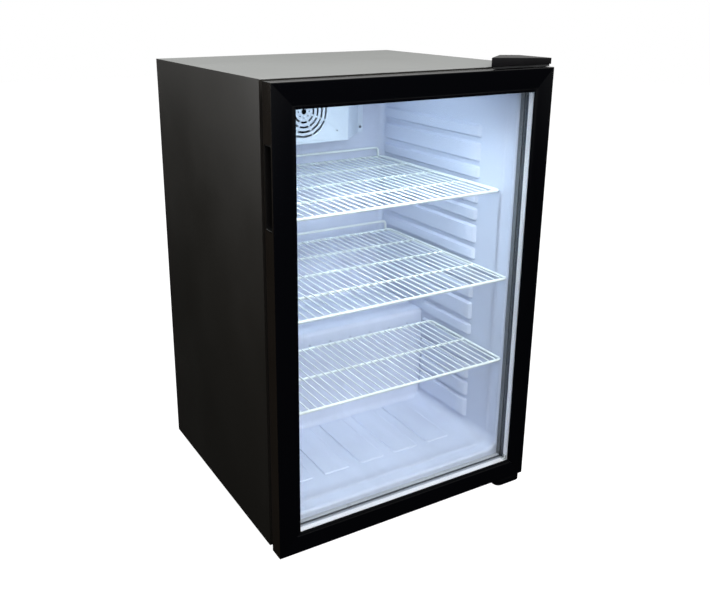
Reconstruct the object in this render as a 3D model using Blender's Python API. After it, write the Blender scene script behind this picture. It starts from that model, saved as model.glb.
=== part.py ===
"""Countertop glass door merchandiser: insulated cabinet, hinged glass door, three wire shelves.

Metres, +Z up. The door faces -Y, its hinges are on +X and the machine compartment is low at the
back. The origin is on the surface the feet stand on, under the middle of the bounding box.
"""

import math

import bmesh
import bpy
from mathutils import Vector

# Driving dimensions
FOOT_HEIGHT = 0.020
BODY_W = 0.496
BODY_D = 0.432
BODY_H = 0.747
DOOR_W = 0.504
DOOR_T = 0.028
DOOR_GAP = 0.0175
DOOR_DROP = 0.001
DOOR_RISE = 0.0045
RAIL_W = 0.0375
REAR_PROUD = 0.0053
SHEET = 0.001
LINER_T = 0.002
GAP = 0.0003

# Planes that follow from them
TOTAL_D = DOOR_T + DOOR_GAP + BODY_D + REAR_PROUD
DOOR_FRONT = -TOTAL_D / 2
DOOR_BACK = DOOR_FRONT + DOOR_T
BODY_FRONT = DOOR_BACK + DOOR_GAP
BODY_BACK = BODY_FRONT + BODY_D
BODY_BASE = FOOT_HEIGHT
BODY_TOP = BODY_BASE + BODY_H
BODY_X = BODY_W / 2
INNER_X = BODY_X - SHEET - GAP
DOOR_X = DOOR_W / 2
DOOR_TOP = BODY_TOP - DOOR_DROP
DOOR_BASE = BODY_BASE + DOOR_RISE

# Food compartment
CAVITY_X = 0.2235
FLOOR = 0.062
CEILING = 0.734
CAVITY_BACK = BODY_FRONT + 0.402
HUMP_FRONT = BODY_FRONT + 0.245
HUMP_TOP = 0.258
TRIM_T = 0.006
OPENING_RADIUS = 0.020
LINER_FRONT = BODY_FRONT + TRIM_T + GAP
RIB_HEIGHT = 0.006
RIB_FRONT = BODY_FRONT + 0.088
RIB_BACK = BODY_FRONT + 0.390
RIB_GROUPS = (0.5545, 0.4025, 0.2515)
RIB_BANDS = ((0.006, 0.029), (0.037, 0.072), (0.080, 0.104), (0.112, 0.147))
LOW_RIBS = ((0.084, 0.123), (0.129, 0.159), (0.165, 0.197), (0.203, 0.2435))
PAD_PITCH = 0.0745
PAD_W = 0.052
PAD_HEIGHT = 0.0015

# Machine compartment
COMPARTMENT_FRONT = BODY_FRONT + 0.268
COMPARTMENT_TOP = 0.234
BASE_PAN_T = 0.0015
PAN_TOP = BODY_BASE + BASE_PAN_T
COVER_T = 0.0012
COVER_X = 0.240
COVER_BASE = 0.026
COVER_TOP = 0.262

# Shelves
SHELF_X = 0.2215
SHELF_DEPTH = 0.371
LOW_SHELF_DEPTH = 0.216
SHELF_FRONTS = (BODY_FRONT + 0.027, BODY_FRONT - 0.0065, BODY_FRONT - 0.0065)
SHELF_CORNER = 0.010
WIRE_COUNT = 30
FRAME_WIRE = 0.0025
THIN_WIRE = 0.0012
WELD = 0.0008
SHELF_T = 2 * FRAME_WIRE + 2 * THIN_WIRE - WELD
BACKSTOP_HEIGHT = 0.018

# Evaporator
FAN_COVER_FRONT = BODY_FRONT + 0.335
FAN_COVER_FACE_X = 0.097
FAN_COVER_BACK_X = 0.159
FAN_COVER_FLANGE_X = 0.171
FAN_COVER_BASE = 0.606
FAN_COVER_T = 0.0015
FAN_Z = 0.667
SLOT_RADII = (0.0205, 0.0300, 0.0390, 0.0480)
SLOT_W = 0.0038

# Hinges
PIVOT_X = DOOR_X - 0.012
PIVOT_Y = DOOR_FRONT + DOOR_T / 2
PIN_RADIUS = 0.004
BUSH_RADIUS = 0.006
BUSH_BORE = 0.0043
BUSH_DEPTH = 0.014
BRACKET_T = 0.003
BRACKET_Z = BODY_TOP + GAP

# Door section, measured from its outer edge (w) and its front face (t)
HOLLOW_W = (0.0045, 0.0175)
HOLLOW_T = (0.003, DOOR_T - 0.003)
GLASS_EDGE = 0.0212
GLASS_SLOT_EDGE = GLASS_EDGE - 0.0005
REAR_LIP_W = 0.0285
PANE_T = 0.004
PANE_FRONT = 0.0023
SPACER_T = 0.012
SPACER_W = 0.0118
GASKET_W = (0.012, 0.026)

# Handle pocket in the door's free side
POCKET_BASE = 0.560
POCKET_TOP = 0.682
POCKET_DEPTH = 0.0168
POCKET_T = (0.0035, 0.0245)
CUP_WALL = 0.0015

# The machine compartment's parts, the controls and the hinges.
SLOT_PITCH = 0.016
COVER_SLOTS_X = ((-0.225, -0.135), (0.070, 0.215))
FOOT_X = 0.170
FOOT_FRONT = BODY_FRONT + 0.055
FOOT_REAR = BODY_BACK - 0.045
COMPRESSOR_XY = (0.118, 0.157)
COMPRESSOR_RADIUS = 0.054
COMPRESSOR_LIFT = 0.013
COMPRESSOR_PLATE = (0.085, 0.060)
MOUNT_SPREAD = (0.072, 0.047)
CONDENSER_Y = (0.034, 0.206)
CONDENSER_X = (-0.238, -0.206)
CONDENSER_Z = (0.088, 0.222)
CONDENSER_FAN_YZ = (0.155, 0.118)
CONDENSER_FAN_X = -0.178
CONDENSER_FAN_RADIUS = 0.053
CONDENSER_MOTOR_RADIUS = 0.021
FAN_BRACKET_X = (-0.1470, -0.1455)
FAN_BRACKET_HALF = 0.030
DRIER_XY = (0.012, 0.216)
DISCHARGE_RADIUS = 0.0025
LIQUID_RADIUS = 0.0020
TRAY_X = (-0.115, 0.020)
TRAY_Y = (0.090, 0.205)
TRAY_HEIGHT = 0.026
TRAY_WALL = 0.0015
SWITCH_HOLE_X = (-0.0695, -0.0505)
SWITCH_HOLE_Z = (0.1845, 0.2115)
SWITCH_WALL = 0.0012
INLET_HOLE_X = (-0.0955, -0.0685)
INLET_HOLE_Z = (0.0565, 0.0765)
INLET_WALL = 0.002
COIL_X = 0.112
COIL_Z = (0.612, 0.728)
COIL_DEPTH = 0.026
EVAPORATOR_FAN_RADIUS = 0.046
THERMOSTAT_X = 0.072
THERMOSTAT_Z = 0.6265
KNOB_RADIUS = 0.0130
KNOB_T = 0.011
LAMP_X = 0.190
LAMP_Y = (BODY_FRONT + 0.018, BODY_FRONT + 0.038)
LAMP_BASE = 0.7195
LENS_TOP = 0.7240
HINGE_LEFT = 0.1245
HINGE_NECK = 0.205
HINGE_FRONT = BODY_FRONT - 0.041
HINGE_BACK = BODY_FRONT + 0.034
HINGE_RIGHT = BODY_X + 0.0005
CAP_HEIGHT = 0.0145
CAP_FALL = 0.0045
CAP_WALL = 0.0016
TOP_SCREWS = ((0.236, 0.023), (0.218, 0.023), (0.214, 0.008))
BOTTOM_SCREWS = ((0.207, 0.018), (0.237, 0.018))
SCREW_RADIUS = 0.0020
LOW_BRACKET_X = (0.194, 0.2505)
LOW_BRACKET_CORNER = 0.010
NOSE_DROP = 0.0095
BACKSTOP_INSET = 0.012

MATERIALS = {
    "side_enamel": ((0.022, 0.021, 0.018), 0.38, 0.0),
    "top_enamel": ((0.40, 0.41, 0.40), 0.42, 0.0),
    "black_plastic": ((0.012, 0.012, 0.013), 0.45, 0.0),
    "gloss_black": ((0.004, 0.004, 0.005), 0.16, 0.0),
    "liner_white": ((0.62, 0.70, 0.82), 0.35, 0.0),
    "foam": ((0.85, 0.78, 0.52), 0.95, 0.0),
    "zinc_steel": ((0.52, 0.53, 0.55), 0.38, 1.0),
    "wire_coating": ((0.80, 0.87, 0.90), 0.30, 0.0),
    "glass": ((0.80, 0.90, 0.90), 0.03, 0.0),
    "spacer_metal": ((0.66, 0.68, 0.74), 0.32, 1.0),
    "aluminium": ((0.72, 0.73, 0.74), 0.38, 1.0),
    "copper": ((0.72, 0.36, 0.22), 0.30, 1.0),
    "rubber": ((0.030, 0.030, 0.032), 0.85, 0.0),
    "gasket_grey": ((0.16, 0.17, 0.18), 0.70, 0.0),
    "compressor_paint": ((0.010, 0.010, 0.011), 0.35, 0.0),
    "white_plastic": ((0.78, 0.80, 0.82), 0.40, 0.0),
    "lamp_lens": ((0.92, 0.95, 1.0), 0.25, 0.0),
}


# ---------------------------------------------------------------------------------------------
# Mesh helpers: each adds one closed body to a bmesh
# ---------------------------------------------------------------------------------------------


def add_box(bm, xs, ys, zs):
    """A box between two values on each axis."""
    corners = [bm.verts.new((x, y, z)) for x in xs for y in ys for z in zs]
    quads = ((0, 1, 3, 2), (4, 6, 7, 5), (0, 4, 5, 1), (2, 3, 7, 6), (0, 2, 6, 4), (1, 5, 7, 3))
    for quad in quads:
        bm.faces.new([corners[i] for i in quad])


def placed(axis, u, v, along):
    """A point from two outline coordinates and a distance along the axis X, Y or Z."""
    return {"X": (along, u, v), "Y": (u, along, v), "Z": (u, v, along)}[axis]


def add_prism(bm, outline, axis, low, high):
    """An outline swept along an axis from low to high."""
    ends = [[bm.verts.new(placed(axis, u, v, a)) for u, v in outline] for a in (low, high)]
    bm.faces.new(ends[0])
    bm.faces.new(list(reversed(ends[1])))
    count = len(outline)
    for i in range(count):
        j = (i + 1) % count
        bm.faces.new((ends[0][i], ends[1][i], ends[1][j], ends[0][j]))


def add_ring(bm, outer, inner, axis, low, high):
    """A frame between two outlines that have the same number of points."""
    loops = [
        [bm.verts.new(placed(axis, u, v, a)) for u, v in outline]
        for a in (low, high)
        for outline in (outer, inner)
    ]
    low_outer, low_inner, high_outer, high_inner = loops
    pairs = (
        (low_outer, low_inner),
        (low_inner, high_inner),
        (high_inner, high_outer),
        (high_outer, low_outer),
    )
    count = len(outer)
    for first, second in pairs:
        for i in range(count):
            j = (i + 1) % count
            bm.faces.new((first[i], second[i], second[j], first[j]))


def circle(centre, radius, count, phase=0.0):
    """Points of a circle in an outline's plane."""
    angles = [phase + 2 * math.pi * i / count for i in range(count)]
    return [(centre[0] + radius * math.cos(a), centre[1] + radius * math.sin(a)) for a in angles]


def rounded_rect(us, vs, radius, steps=4):
    """A rectangle with round corners, anticlockwise from its lower right corner."""
    centres = (
        (us[1] - radius, vs[0] + radius, -90),
        (us[1] - radius, vs[1] - radius, 0),
        (us[0] + radius, vs[1] - radius, 90),
        (us[0] + radius, vs[0] + radius, 180),
    )
    points = []
    for u, v, start in centres:
        for i in range(steps + 1):
            a = math.radians(start + 90 * i / steps)
            points.append((u + radius * math.cos(a), v + radius * math.sin(a)))
    return points


def add_cylinder(bm, centre, radius, axis, low, high, count=20):
    """A round bar along an axis."""
    add_prism(bm, circle(centre, radius, count, math.pi / count), axis, low, high)


def add_tube(bm, centre, radius, bore, axis, low, high, count=20):
    """A round tube along an axis."""
    add_ring(bm, circle(centre, radius, count), circle(centre, bore, count), axis, low, high)


def add_turned(bm, centre, profile, axis="Z", count=24):
    """A profile of (radius, height) points turned about an axis, closed at both ends."""
    loops = [
        [bm.verts.new(placed(axis, u, v, along)) for u, v in circle(centre, radius, count)]
        for radius, along in profile
    ]
    bm.faces.new(loops[0])
    bm.faces.new(list(reversed(loops[-1])))
    for lower, upper in zip(loops, loops[1:]):
        for i in range(count):
            j = (i + 1) % count
            bm.faces.new((lower[i], upper[i], upper[j], lower[j]))


# ---------------------------------------------------------------------------------------------
# Objects
# ---------------------------------------------------------------------------------------------


def make_material(name):
    """The Principled material of that name, made on first use."""
    if name in bpy.data.materials:
        return bpy.data.materials[name]
    colour, roughness, metallic = MATERIALS[name]
    material = bpy.data.materials.new(name)
    material.use_nodes = True
    shader = material.node_tree.nodes["Principled BSDF"]
    shader.inputs["Base Color"].default_value = (*colour, 1.0)
    shader.inputs["Roughness"].default_value = roughness
    shader.inputs["Metallic"].default_value = metallic
    return material


def finish(name, bm, material, origin=(0.0, 0.0, 0.0), smooth=False):
    """Turns a bmesh into an object whose origin is at the given point."""
    bmesh.ops.recalc_face_normals(bm, faces=bm.faces)
    bmesh.ops.translate(bm, verts=bm.verts, vec=-Vector(origin))
    mesh = bpy.data.meshes.new(name)
    bm.to_mesh(mesh)
    bm.free()
    if smooth:
        mesh.shade_smooth()
        mesh.set_sharp_from_angle(angle=math.radians(35))
    obj = bpy.data.objects.new(name, mesh)
    obj.location = origin
    bpy.context.scene.collection.objects.link(obj)
    if material:
        mesh.materials.append(make_material(material))
    return obj


def boolean(target, name, bm, operation="DIFFERENCE"):
    """Cuts or joins the target with the closed bodies of a bmesh."""
    tool = finish(name, bm, None)
    tool.hide_render = True
    tool.display_type = "WIRE"
    modifier = target.modifiers.new(name, "BOOLEAN")
    modifier.operation = operation
    modifier.solver = "EXACT"
    modifier.use_self = operation == "UNION"
    modifier.object = tool


def make_box(name, material, xs, ys, zs, origin=(0.0, 0.0, 0.0)):
    """One box as an object."""
    bm = bmesh.new()
    add_box(bm, xs, ys, zs)
    return finish(name, bm, material, origin)


# ---------------------------------------------------------------------------------------------
# Cabinet shell
# ---------------------------------------------------------------------------------------------


def make_panels():
    """The enamelled sheets of the outer shell and the pan under it."""
    for name, side in (("side_panel_left", -1), ("side_panel_right", 1)):
        xs = sorted((side * BODY_X, side * (BODY_X - SHEET)))
        make_box(name, "side_enamel", xs, (BODY_FRONT, BODY_BACK), (BODY_BASE, BODY_TOP))
    inside_x = (-INNER_X, INNER_X)
    make_box(
        "top_panel",
        "top_enamel",
        inside_x,
        (BODY_FRONT, BODY_BACK),
        (BODY_TOP - SHEET, BODY_TOP),
    )
    make_box(
        "back_panel",
        "zinc_steel",
        inside_x,
        (BODY_BACK - SHEET, BODY_BACK),
        (COMPARTMENT_TOP + GAP, BODY_TOP - SHEET - GAP),
    )
    pan = make_box(
        "base_pan", "zinc_steel", inside_x, (BODY_FRONT, BODY_BACK), (BODY_BASE, PAN_TOP)
    )
    slots = bmesh.new()
    for i in range(5):
        x = -0.200 + i * 0.012
        add_box(
            slots,
            (x, x + 0.005),
            (COMPARTMENT_FRONT + 0.020, COMPARTMENT_FRONT + 0.085),
            (BODY_BASE - 0.01, PAN_TOP + 0.01),
        )
    boolean(pan, "base_pan_slots", slots)


def cavity_outline(offset, front):
    """The food compartment's side view, stepped up at the back over the machine compartment."""
    return [
        (front, FLOOR - offset),
        (HUMP_FRONT + offset, FLOOR - offset),
        (HUMP_FRONT + offset, HUMP_TOP - offset),
        (CAVITY_BACK + offset, HUMP_TOP - offset),
        (CAVITY_BACK + offset, CEILING + offset),
        (front, CEILING + offset),
    ]


def rib_heights():
    """Bottom and top of each raised band on the side walls."""
    bands = list(LOW_RIBS)
    for group, base in enumerate(RIB_GROUPS):
        for low, high in RIB_BANDS[: 3 if group == 0 else 4]:
            bands.append((base + low, base + high))
    return bands


def shelf_levels():
    """Top of each shelf, upper one first: each stands on a band's upper edge."""
    seats = (RIB_GROUPS[1] + RIB_BANDS[3][1], RIB_GROUPS[2] + RIB_BANDS[3][1], LOW_RIBS[3][1])
    return [seat + GAP + SHELF_T for seat in seats]


def make_liner():
    """The moulded inner tub with its shelf ribs and floor pads."""
    bm = bmesh.new()
    outer_x = CAVITY_X + LINER_T
    add_prism(bm, cavity_outline(LINER_T, LINER_FRONT), "X", -outer_x, outer_x)
    liner = finish("liner", bm, "liner_white")
    hollow = bmesh.new()
    add_prism(hollow, cavity_outline(0.0, LINER_FRONT - 0.02), "X", -CAVITY_X, CAVITY_X)
    boolean(liner, "liner_hollow", hollow)
    relief = bmesh.new()
    root = LINER_T / 2
    for low, high in rib_heights():
        back = RIB_BACK if low > HUMP_TOP + RIB_HEIGHT else HUMP_FRONT - 0.012
        for side in (-1, 1):
            xs = sorted((side * (CAVITY_X + root), side * (CAVITY_X - RIB_HEIGHT)))
            add_box(relief, xs, (RIB_FRONT, back), (low, high))
    for i in range(-2, 3):
        x = i * PAD_PITCH
        add_box(
            relief,
            (x - PAD_W / 2, x + PAD_W / 2),
            (RIB_FRONT - 0.010, HUMP_FRONT - 0.012),
            (FLOOR - root, FLOOR + PAD_HEIGHT),
        )
    boolean(liner, "liner_relief", relief, "UNION")


def make_foam():
    """The foamed insulation that fills the space between the tub and the shell."""
    low = PAN_TOP + GAP
    top = BODY_TOP - SHEET - GAP
    back = BODY_BACK - SHEET - GAP
    outline = [
        (LINER_FRONT, low),
        (COMPARTMENT_FRONT - GAP, low),
        (COMPARTMENT_FRONT - GAP, COMPARTMENT_TOP + GAP),
        (back, COMPARTMENT_TOP + GAP),
        (back, top),
        (LINER_FRONT, top),
    ]
    bm = bmesh.new()
    add_prism(bm, outline, "X", -INNER_X, INNER_X)
    foam = finish("insulation_foam", bm, "foam")
    hollow = bmesh.new()
    reach = CAVITY_X + LINER_T + GAP
    add_prism(hollow, cavity_outline(LINER_T + GAP, LINER_FRONT - 0.02), "X", -reach, reach)
    boolean(foam, "foam_hollow", hollow)


def make_front_trim():
    """The plastic frame that closes the shell's front edge round the opening."""
    bm = bmesh.new()
    zs = (PAN_TOP + GAP, BODY_TOP - SHEET - GAP)
    outer = rounded_rect((-INNER_X, INNER_X), zs, 0.0005)
    inner = rounded_rect((-CAVITY_X, CAVITY_X), (FLOOR, CEILING), OPENING_RADIUS)
    add_ring(bm, outer, inner, "Y", BODY_FRONT, BODY_FRONT + TRIM_T)
    finish("front_trim", bm, "liner_white")


def make_compartment():
    """The machine compartment's sheet wall and its slotted rear cover."""
    ceiling = COMPARTMENT_TOP - SHEET
    back = BODY_BACK - GAP
    outline = [
        (COMPARTMENT_FRONT, PAN_TOP + GAP),
        (COMPARTMENT_FRONT + SHEET, PAN_TOP + GAP),
        (COMPARTMENT_FRONT + SHEET, ceiling),
        (back, ceiling),
        (back, COMPARTMENT_TOP),
        (COMPARTMENT_FRONT, COMPARTMENT_TOP),
    ]
    bm = bmesh.new()
    add_prism(bm, outline, "X", -INNER_X, INNER_X)
    finish("compartment_divider", bm, "zinc_steel")
    cover = make_box(
        "rear_cover",
        "side_enamel",
        (-COVER_X, COVER_X),
        (BODY_BACK + GAP, BODY_BACK + GAP + COVER_T),
        (COVER_BASE, COVER_TOP),
    )
    slots = bmesh.new()
    ys = (BODY_BACK - 0.005, BODY_BACK + 0.005)
    for row in range(9):
        z = COVER_BASE + 0.030 + row * SLOT_PITCH
        for xs in COVER_SLOTS_X:
            add_box(slots, xs, ys, (z, z + 0.006))
    add_box(slots, SWITCH_HOLE_X, ys, SWITCH_HOLE_Z)
    add_box(slots, INLET_HOLE_X, ys, INLET_HOLE_Z)
    boolean(cover, "rear_cover_slots", slots)


def make_feet():
    """Four rubber feet under the pan."""
    for x_name, x in (("left", -FOOT_X), ("right", FOOT_X)):
        for y_name, y in (("front", FOOT_FRONT), ("rear", FOOT_REAR)):
            bm = bmesh.new()
            profile = [(0.015, 0.0), (0.0165, 0.002), (0.019, BODY_BASE - GAP)]
            add_turned(bm, (x, y), profile, count=20)
            finish(f"foot_{y_name}_{x_name}", bm, "rubber", smooth=True)


# ---------------------------------------------------------------------------------------------
# Refrigeration and electrics
# ---------------------------------------------------------------------------------------------

def comb_outline(us, vs, teeth, spine):
    """A comb: a spine along u at the low v side with thin teeth that reach the high v side."""
    pitch = (us[1] - us[0]) / (teeth - 0.5)
    points = [(us[0], vs[0]), (us[1], vs[0])]
    for i in reversed(range(teeth)):
        start = us[0] + i * pitch
        points += [(start + pitch / 2, vs[1]), (start, vs[1])]
        if i:
            points += [(start, vs[0] + spine), (start - pitch / 2, vs[0] + spine)]
    return points


def make_blade(name, centre, axis, low, high, radius, hub, count):
    """A fan rotor: a round hub with flat blades pitched across its thickness."""
    bm = bmesh.new()
    add_cylinder(bm, centre, hub, axis, low, high, 16)
    origin = placed(axis, centre[0], centre[1], (low + high) / 2)
    rotor = finish(name, bm, "black_plastic", origin, smooth=True)
    blades = bmesh.new()
    half_t = 0.0008
    lift = (high - low) / 2 - half_t
    middle = (low + high) / 2
    for i in range(count):
        turn = 2 * math.pi * i / count
        corners = []
        for r, spread in ((hub * 0.8, 0.30), (radius, 0.42)):
            for side in (-1, 1):
                a = turn + side * spread
                along = middle + side * lift
                corners.append((centre[0] + r * math.cos(a), centre[1] + r * math.sin(a), along))
        order = (corners[0], corners[1], corners[3], corners[2])
        low_loop = [blades.verts.new(placed(axis, u, v, a - half_t)) for u, v, a in order]
        high_loop = [blades.verts.new(placed(axis, u, v, a + half_t)) for u, v, a in order]
        blades.faces.new(low_loop)
        blades.faces.new(list(reversed(high_loop)))
        for k in range(4):
            n = (k + 1) % 4
            blades.faces.new((low_loop[k], high_loop[k], high_loop[n], low_loop[n]))
    boolean(rotor, name + "_blades", blades, "UNION")


def make_fan_cover():
    """The evaporator housing on the back wall, with its round grille."""
    top = CEILING - GAP
    back = CAVITY_BACK - GAP
    flange = back - FAN_COVER_T
    outline = [
        (-FAN_COVER_FLANGE_X, back),
        (-FAN_COVER_FLANGE_X, flange),
        (-FAN_COVER_BACK_X, flange),
        (-FAN_COVER_FACE_X, FAN_COVER_FRONT),
        (FAN_COVER_FACE_X, FAN_COVER_FRONT),
        (FAN_COVER_BACK_X, flange),
        (FAN_COVER_FLANGE_X, flange),
        (FAN_COVER_FLANGE_X, back),
    ]
    bm = bmesh.new()
    add_prism(bm, outline, "Z", FAN_COVER_BASE, top)
    cover = finish("fan_cover", bm, "liner_white")
    inner_front = FAN_COVER_FRONT + FAN_COVER_T
    slant = FAN_COVER_T * 1.5
    inner = [
        (-FAN_COVER_BACK_X + slant, back + 0.01),
        (-FAN_COVER_BACK_X + slant, flange),
        (-FAN_COVER_FACE_X + FAN_COVER_T / 2, inner_front),
        (FAN_COVER_FACE_X - FAN_COVER_T / 2, inner_front),
        (FAN_COVER_BACK_X - slant, flange),
        (FAN_COVER_BACK_X - slant, back + 0.01),
    ]
    tool = bmesh.new()
    add_prism(tool, inner, "Z", FAN_COVER_BASE + FAN_COVER_T, top + 0.01)
    boolean(cover, "fan_cover_hollow", tool)
    slots = bmesh.new()
    ys = (FAN_COVER_FRONT - 0.01, inner_front + 0.003)
    for radius in SLOT_RADII:
        reach = math.radians(45) - 0.0035 / radius
        for i in range(8):
            middle = math.radians(-90 + 45 * i)
            angles = [middle - reach / 2 + reach * k / 2 for k in range(3)]
            outer = [(radius + SLOT_W / 2, a) for a in angles]
            inner_edge = [(radius - SLOT_W / 2, a) for a in reversed(angles)]
            points = [(r * math.cos(a), FAN_Z + r * math.sin(a)) for r, a in outer + inner_edge]
            add_prism(slots, points, "Y", *ys)
    add_prism(slots, circle((0.0, FAN_Z), 0.0055, 10), "Y", *ys)
    for u, v in circle((0.0, FAN_Z), 0.0115, 8):
        add_prism(slots, circle((u, v), 0.0016, 6), "Y", *ys)
    add_prism(slots, circle((-THERMOSTAT_X, THERMOSTAT_Z), 0.0045, 12), "Y", *ys)
    boolean(cover, "fan_cover_slots", slots)


def make_evaporator():
    """The finned coil, its fan and the thermostat behind the housing."""
    coil_y = (CAVITY_BACK - COIL_DEPTH, CAVITY_BACK - GAP)
    bm = bmesh.new()
    outline = comb_outline((-COIL_X, COIL_X), coil_y, 16, 0.016)
    add_prism(bm, outline, "Z", *COIL_Z)
    finish("evaporator_coil", bm, "aluminium")
    motor_back = coil_y[0] - GAP
    motor_front = motor_back - 0.018
    bm = bmesh.new()
    add_cylinder(bm, (0.0, FAN_Z), 0.017, "Y", motor_front, motor_back)
    finish("evaporator_fan_motor", bm, "black_plastic", smooth=True)
    make_blade(
        "evaporator_fan_blade",
        (0.0, FAN_Z),
        "Y",
        motor_front - GAP - 0.012,
        motor_front - GAP,
        EVAPORATOR_FAN_RADIUS,
        0.013,
        5,
    )
    body_front = FAN_COVER_FRONT + FAN_COVER_T + GAP
    centre = (-THERMOSTAT_X, THERMOSTAT_Z)
    body = make_box(
        "thermostat_body",
        "white_plastic",
        (centre[0] - 0.012, centre[0] + 0.012),
        (body_front, body_front + 0.016),
        (centre[1] - 0.013, centre[1] + 0.013),
    )
    bore = bmesh.new()
    add_cylinder(bore, centre, 0.0036, "Y", body_front - 0.01, body_front + 0.008, 12)
    boolean(body, "thermostat_bore", bore)
    knob_back = FAN_COVER_FRONT - GAP
    bm = bmesh.new()
    profile = [
        (0.0032, body_front + 0.007),
        (0.0032, knob_back),
        (KNOB_RADIUS, knob_back),
        (KNOB_RADIUS, knob_back - 0.004),
        (KNOB_RADIUS - 0.0015, knob_back - KNOB_T),
    ]
    add_turned(bm, centre, profile, "Y", 24)
    origin = (centre[0], knob_back, centre[1])
    finish("thermostat_knob", bm, "white_plastic", origin, smooth=True)


def make_lamp():
    """The light bar at the front of the ceiling."""
    xs = (-LAMP_X, LAMP_X)
    make_box("light_housing", "aluminium", xs, LAMP_Y, (LENS_TOP, CEILING - GAP))
    lens_x = (xs[0] + 0.004, xs[1] - 0.004)
    lens_y = (LAMP_Y[0] + 0.002, LAMP_Y[1] - 0.002)
    make_box("light_lens", "lamp_lens", lens_x, lens_y, (LAMP_BASE, LENS_TOP - GAP))


def make_compressor():
    """The sealed compressor on its plate, its rubber mounts and its relay box."""
    x, y = COMPRESSOR_XY
    half_x, half_y = COMPRESSOR_PLATE
    plate_z = PAN_TOP + COMPRESSOR_LIFT
    bm = bmesh.new()
    outline = rounded_rect((x - half_x, x + half_x), (y - half_y, y + half_y), 0.012, 2)
    add_prism(bm, outline, "Z", plate_z, plate_z + 0.003)
    plate = finish("compressor", bm, "compressor_paint", smooth=True)
    shell = bmesh.new()
    r = COMPRESSOR_RADIUS
    base = plate_z + 0.001
    profile = [
        (r - 0.010, base),
        (r - 0.002, base + 0.012),
        (r, base + 0.030),
        (r, base + 0.110),
        (r - 0.006, base + 0.128),
        (r - 0.022, base + 0.141),
        (0.012, base + 0.147),
    ]
    add_turned(shell, COMPRESSOR_XY, profile, count=24)
    boolean(plate, "compressor_shell", shell, "UNION")
    holes = bmesh.new()
    spread_x, spread_y = MOUNT_SPREAD
    for x_name, dx in (("left", -spread_x), ("right", spread_x)):
        for y_name, dy in (("front", -spread_y), ("rear", spread_y)):
            spot = (x + dx, y + dy)
            add_cylinder(holes, spot, 0.0056, "Z", plate_z - 0.01, plate_z + 0.02, 12)
            profile = [
                (0.0090, PAN_TOP + GAP),
                (0.0090, plate_z - GAP),
                (0.0050, plate_z - GAP),
                (0.0050, plate_z + 0.0032),
            ]
            bm = bmesh.new()
            add_turned(bm, spot, profile, count=12)
            finish(f"compressor_mount_{y_name}_{x_name}", bm, "rubber", smooth=True)
    boolean(plate, "compressor_holes", holes)
    make_box(
        "compressor_relay_box",
        "black_plastic",
        (x - r - 0.026, x - r - GAP),
        (y - 0.020, y + 0.020),
        (0.088, 0.140),
    )


def make_condenser():
    """The finned condenser, its fan on a bracket and the filter drier."""
    bm = bmesh.new()
    outline = comb_outline(CONDENSER_Y, CONDENSER_X, 18, 0.018)
    flipped = [(v, u) for u, v in outline]
    add_prism(bm, flipped, "Y", *CONDENSER_Z)
    finish("condenser_coil", bm, "aluminium")
    y, z = CONDENSER_FAN_YZ
    bm = bmesh.new()
    radius = CONDENSER_MOTOR_RADIUS
    add_cylinder(bm, CONDENSER_FAN_YZ, radius, "X", CONDENSER_FAN_X + 0.007, -0.140)
    finish("condenser_fan_motor", bm, "black_plastic", smooth=True)
    plate_x = FAN_BRACKET_X
    half = FAN_BRACKET_HALF
    foot = PAN_TOP + GAP
    outline = [
        (plate_x[0], z + half),
        (plate_x[0], foot + 0.0015),
        (plate_x[0] - 0.016, foot + 0.0015),
        (plate_x[0] - 0.016, foot),
        (plate_x[1], foot),
        (plate_x[1], z + half),
    ]
    bm = bmesh.new()
    add_prism(bm, outline, "Y", y - half, y + half)
    bracket = finish("condenser_fan_bracket", bm, "zinc_steel")
    bore = bmesh.new()
    add_cylinder(bore, CONDENSER_FAN_YZ, radius + GAP, "X", -0.16, -0.13)
    boolean(bracket, "condenser_fan_bore", bore)
    make_blade(
        "condenser_fan_blade",
        CONDENSER_FAN_YZ,
        "X",
        CONDENSER_FAN_X - 0.010,
        CONDENSER_FAN_X + 0.006,
        CONDENSER_FAN_RADIUS,
        0.018,
        5,
    )
    bm = bmesh.new()
    profile = [
        (0.0035, 0.066),
        (0.0035, 0.072),
        (0.0095, 0.080),
        (0.0095, 0.140),
        (0.0035, 0.148),
        (0.0035, 0.154),
    ]
    add_turned(bm, DRIER_XY, profile, count=16)
    finish("filter_drier", bm, "copper", smooth=True)


def make_pipe(name, points, radius):
    """A copper pipe along a smooth curve through the given points."""
    curve = bpy.data.curves.new(name, "CURVE")
    curve.dimensions = "3D"
    curve.bevel_depth = radius
    curve.bevel_resolution = 1
    curve.use_fill_caps = True
    spline = curve.splines.new("POLY")
    smooth = []
    padded = [points[0], *points, points[-1]]
    for a, b, c, d in zip(padded, padded[1:], padded[2:], padded[3:]):
        for k in range(3):
            smooth.append(catmull(a, b, c, d, k / 3))
    smooth.append(Vector(points[-1]))
    spline.points.add(len(smooth) - 1)
    for point, place in zip(spline.points, smooth):
        point.co = (*place, 1.0)
    obj = bpy.data.objects.new(name, curve)
    bpy.context.scene.collection.objects.link(obj)
    curve.materials.append(make_material("copper"))


def catmull(a, b, c, d, t):
    """A point between b and c on the Catmull-Rom curve through four points."""
    a, b, c, d = (Vector(p) for p in (a, b, c, d))
    return 0.5 * (
        2 * b + (c - a) * t + (2 * a - 5 * b + 4 * c - d) * t**2 + (3 * b - a - 3 * c + d) * t**3
    )


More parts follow.
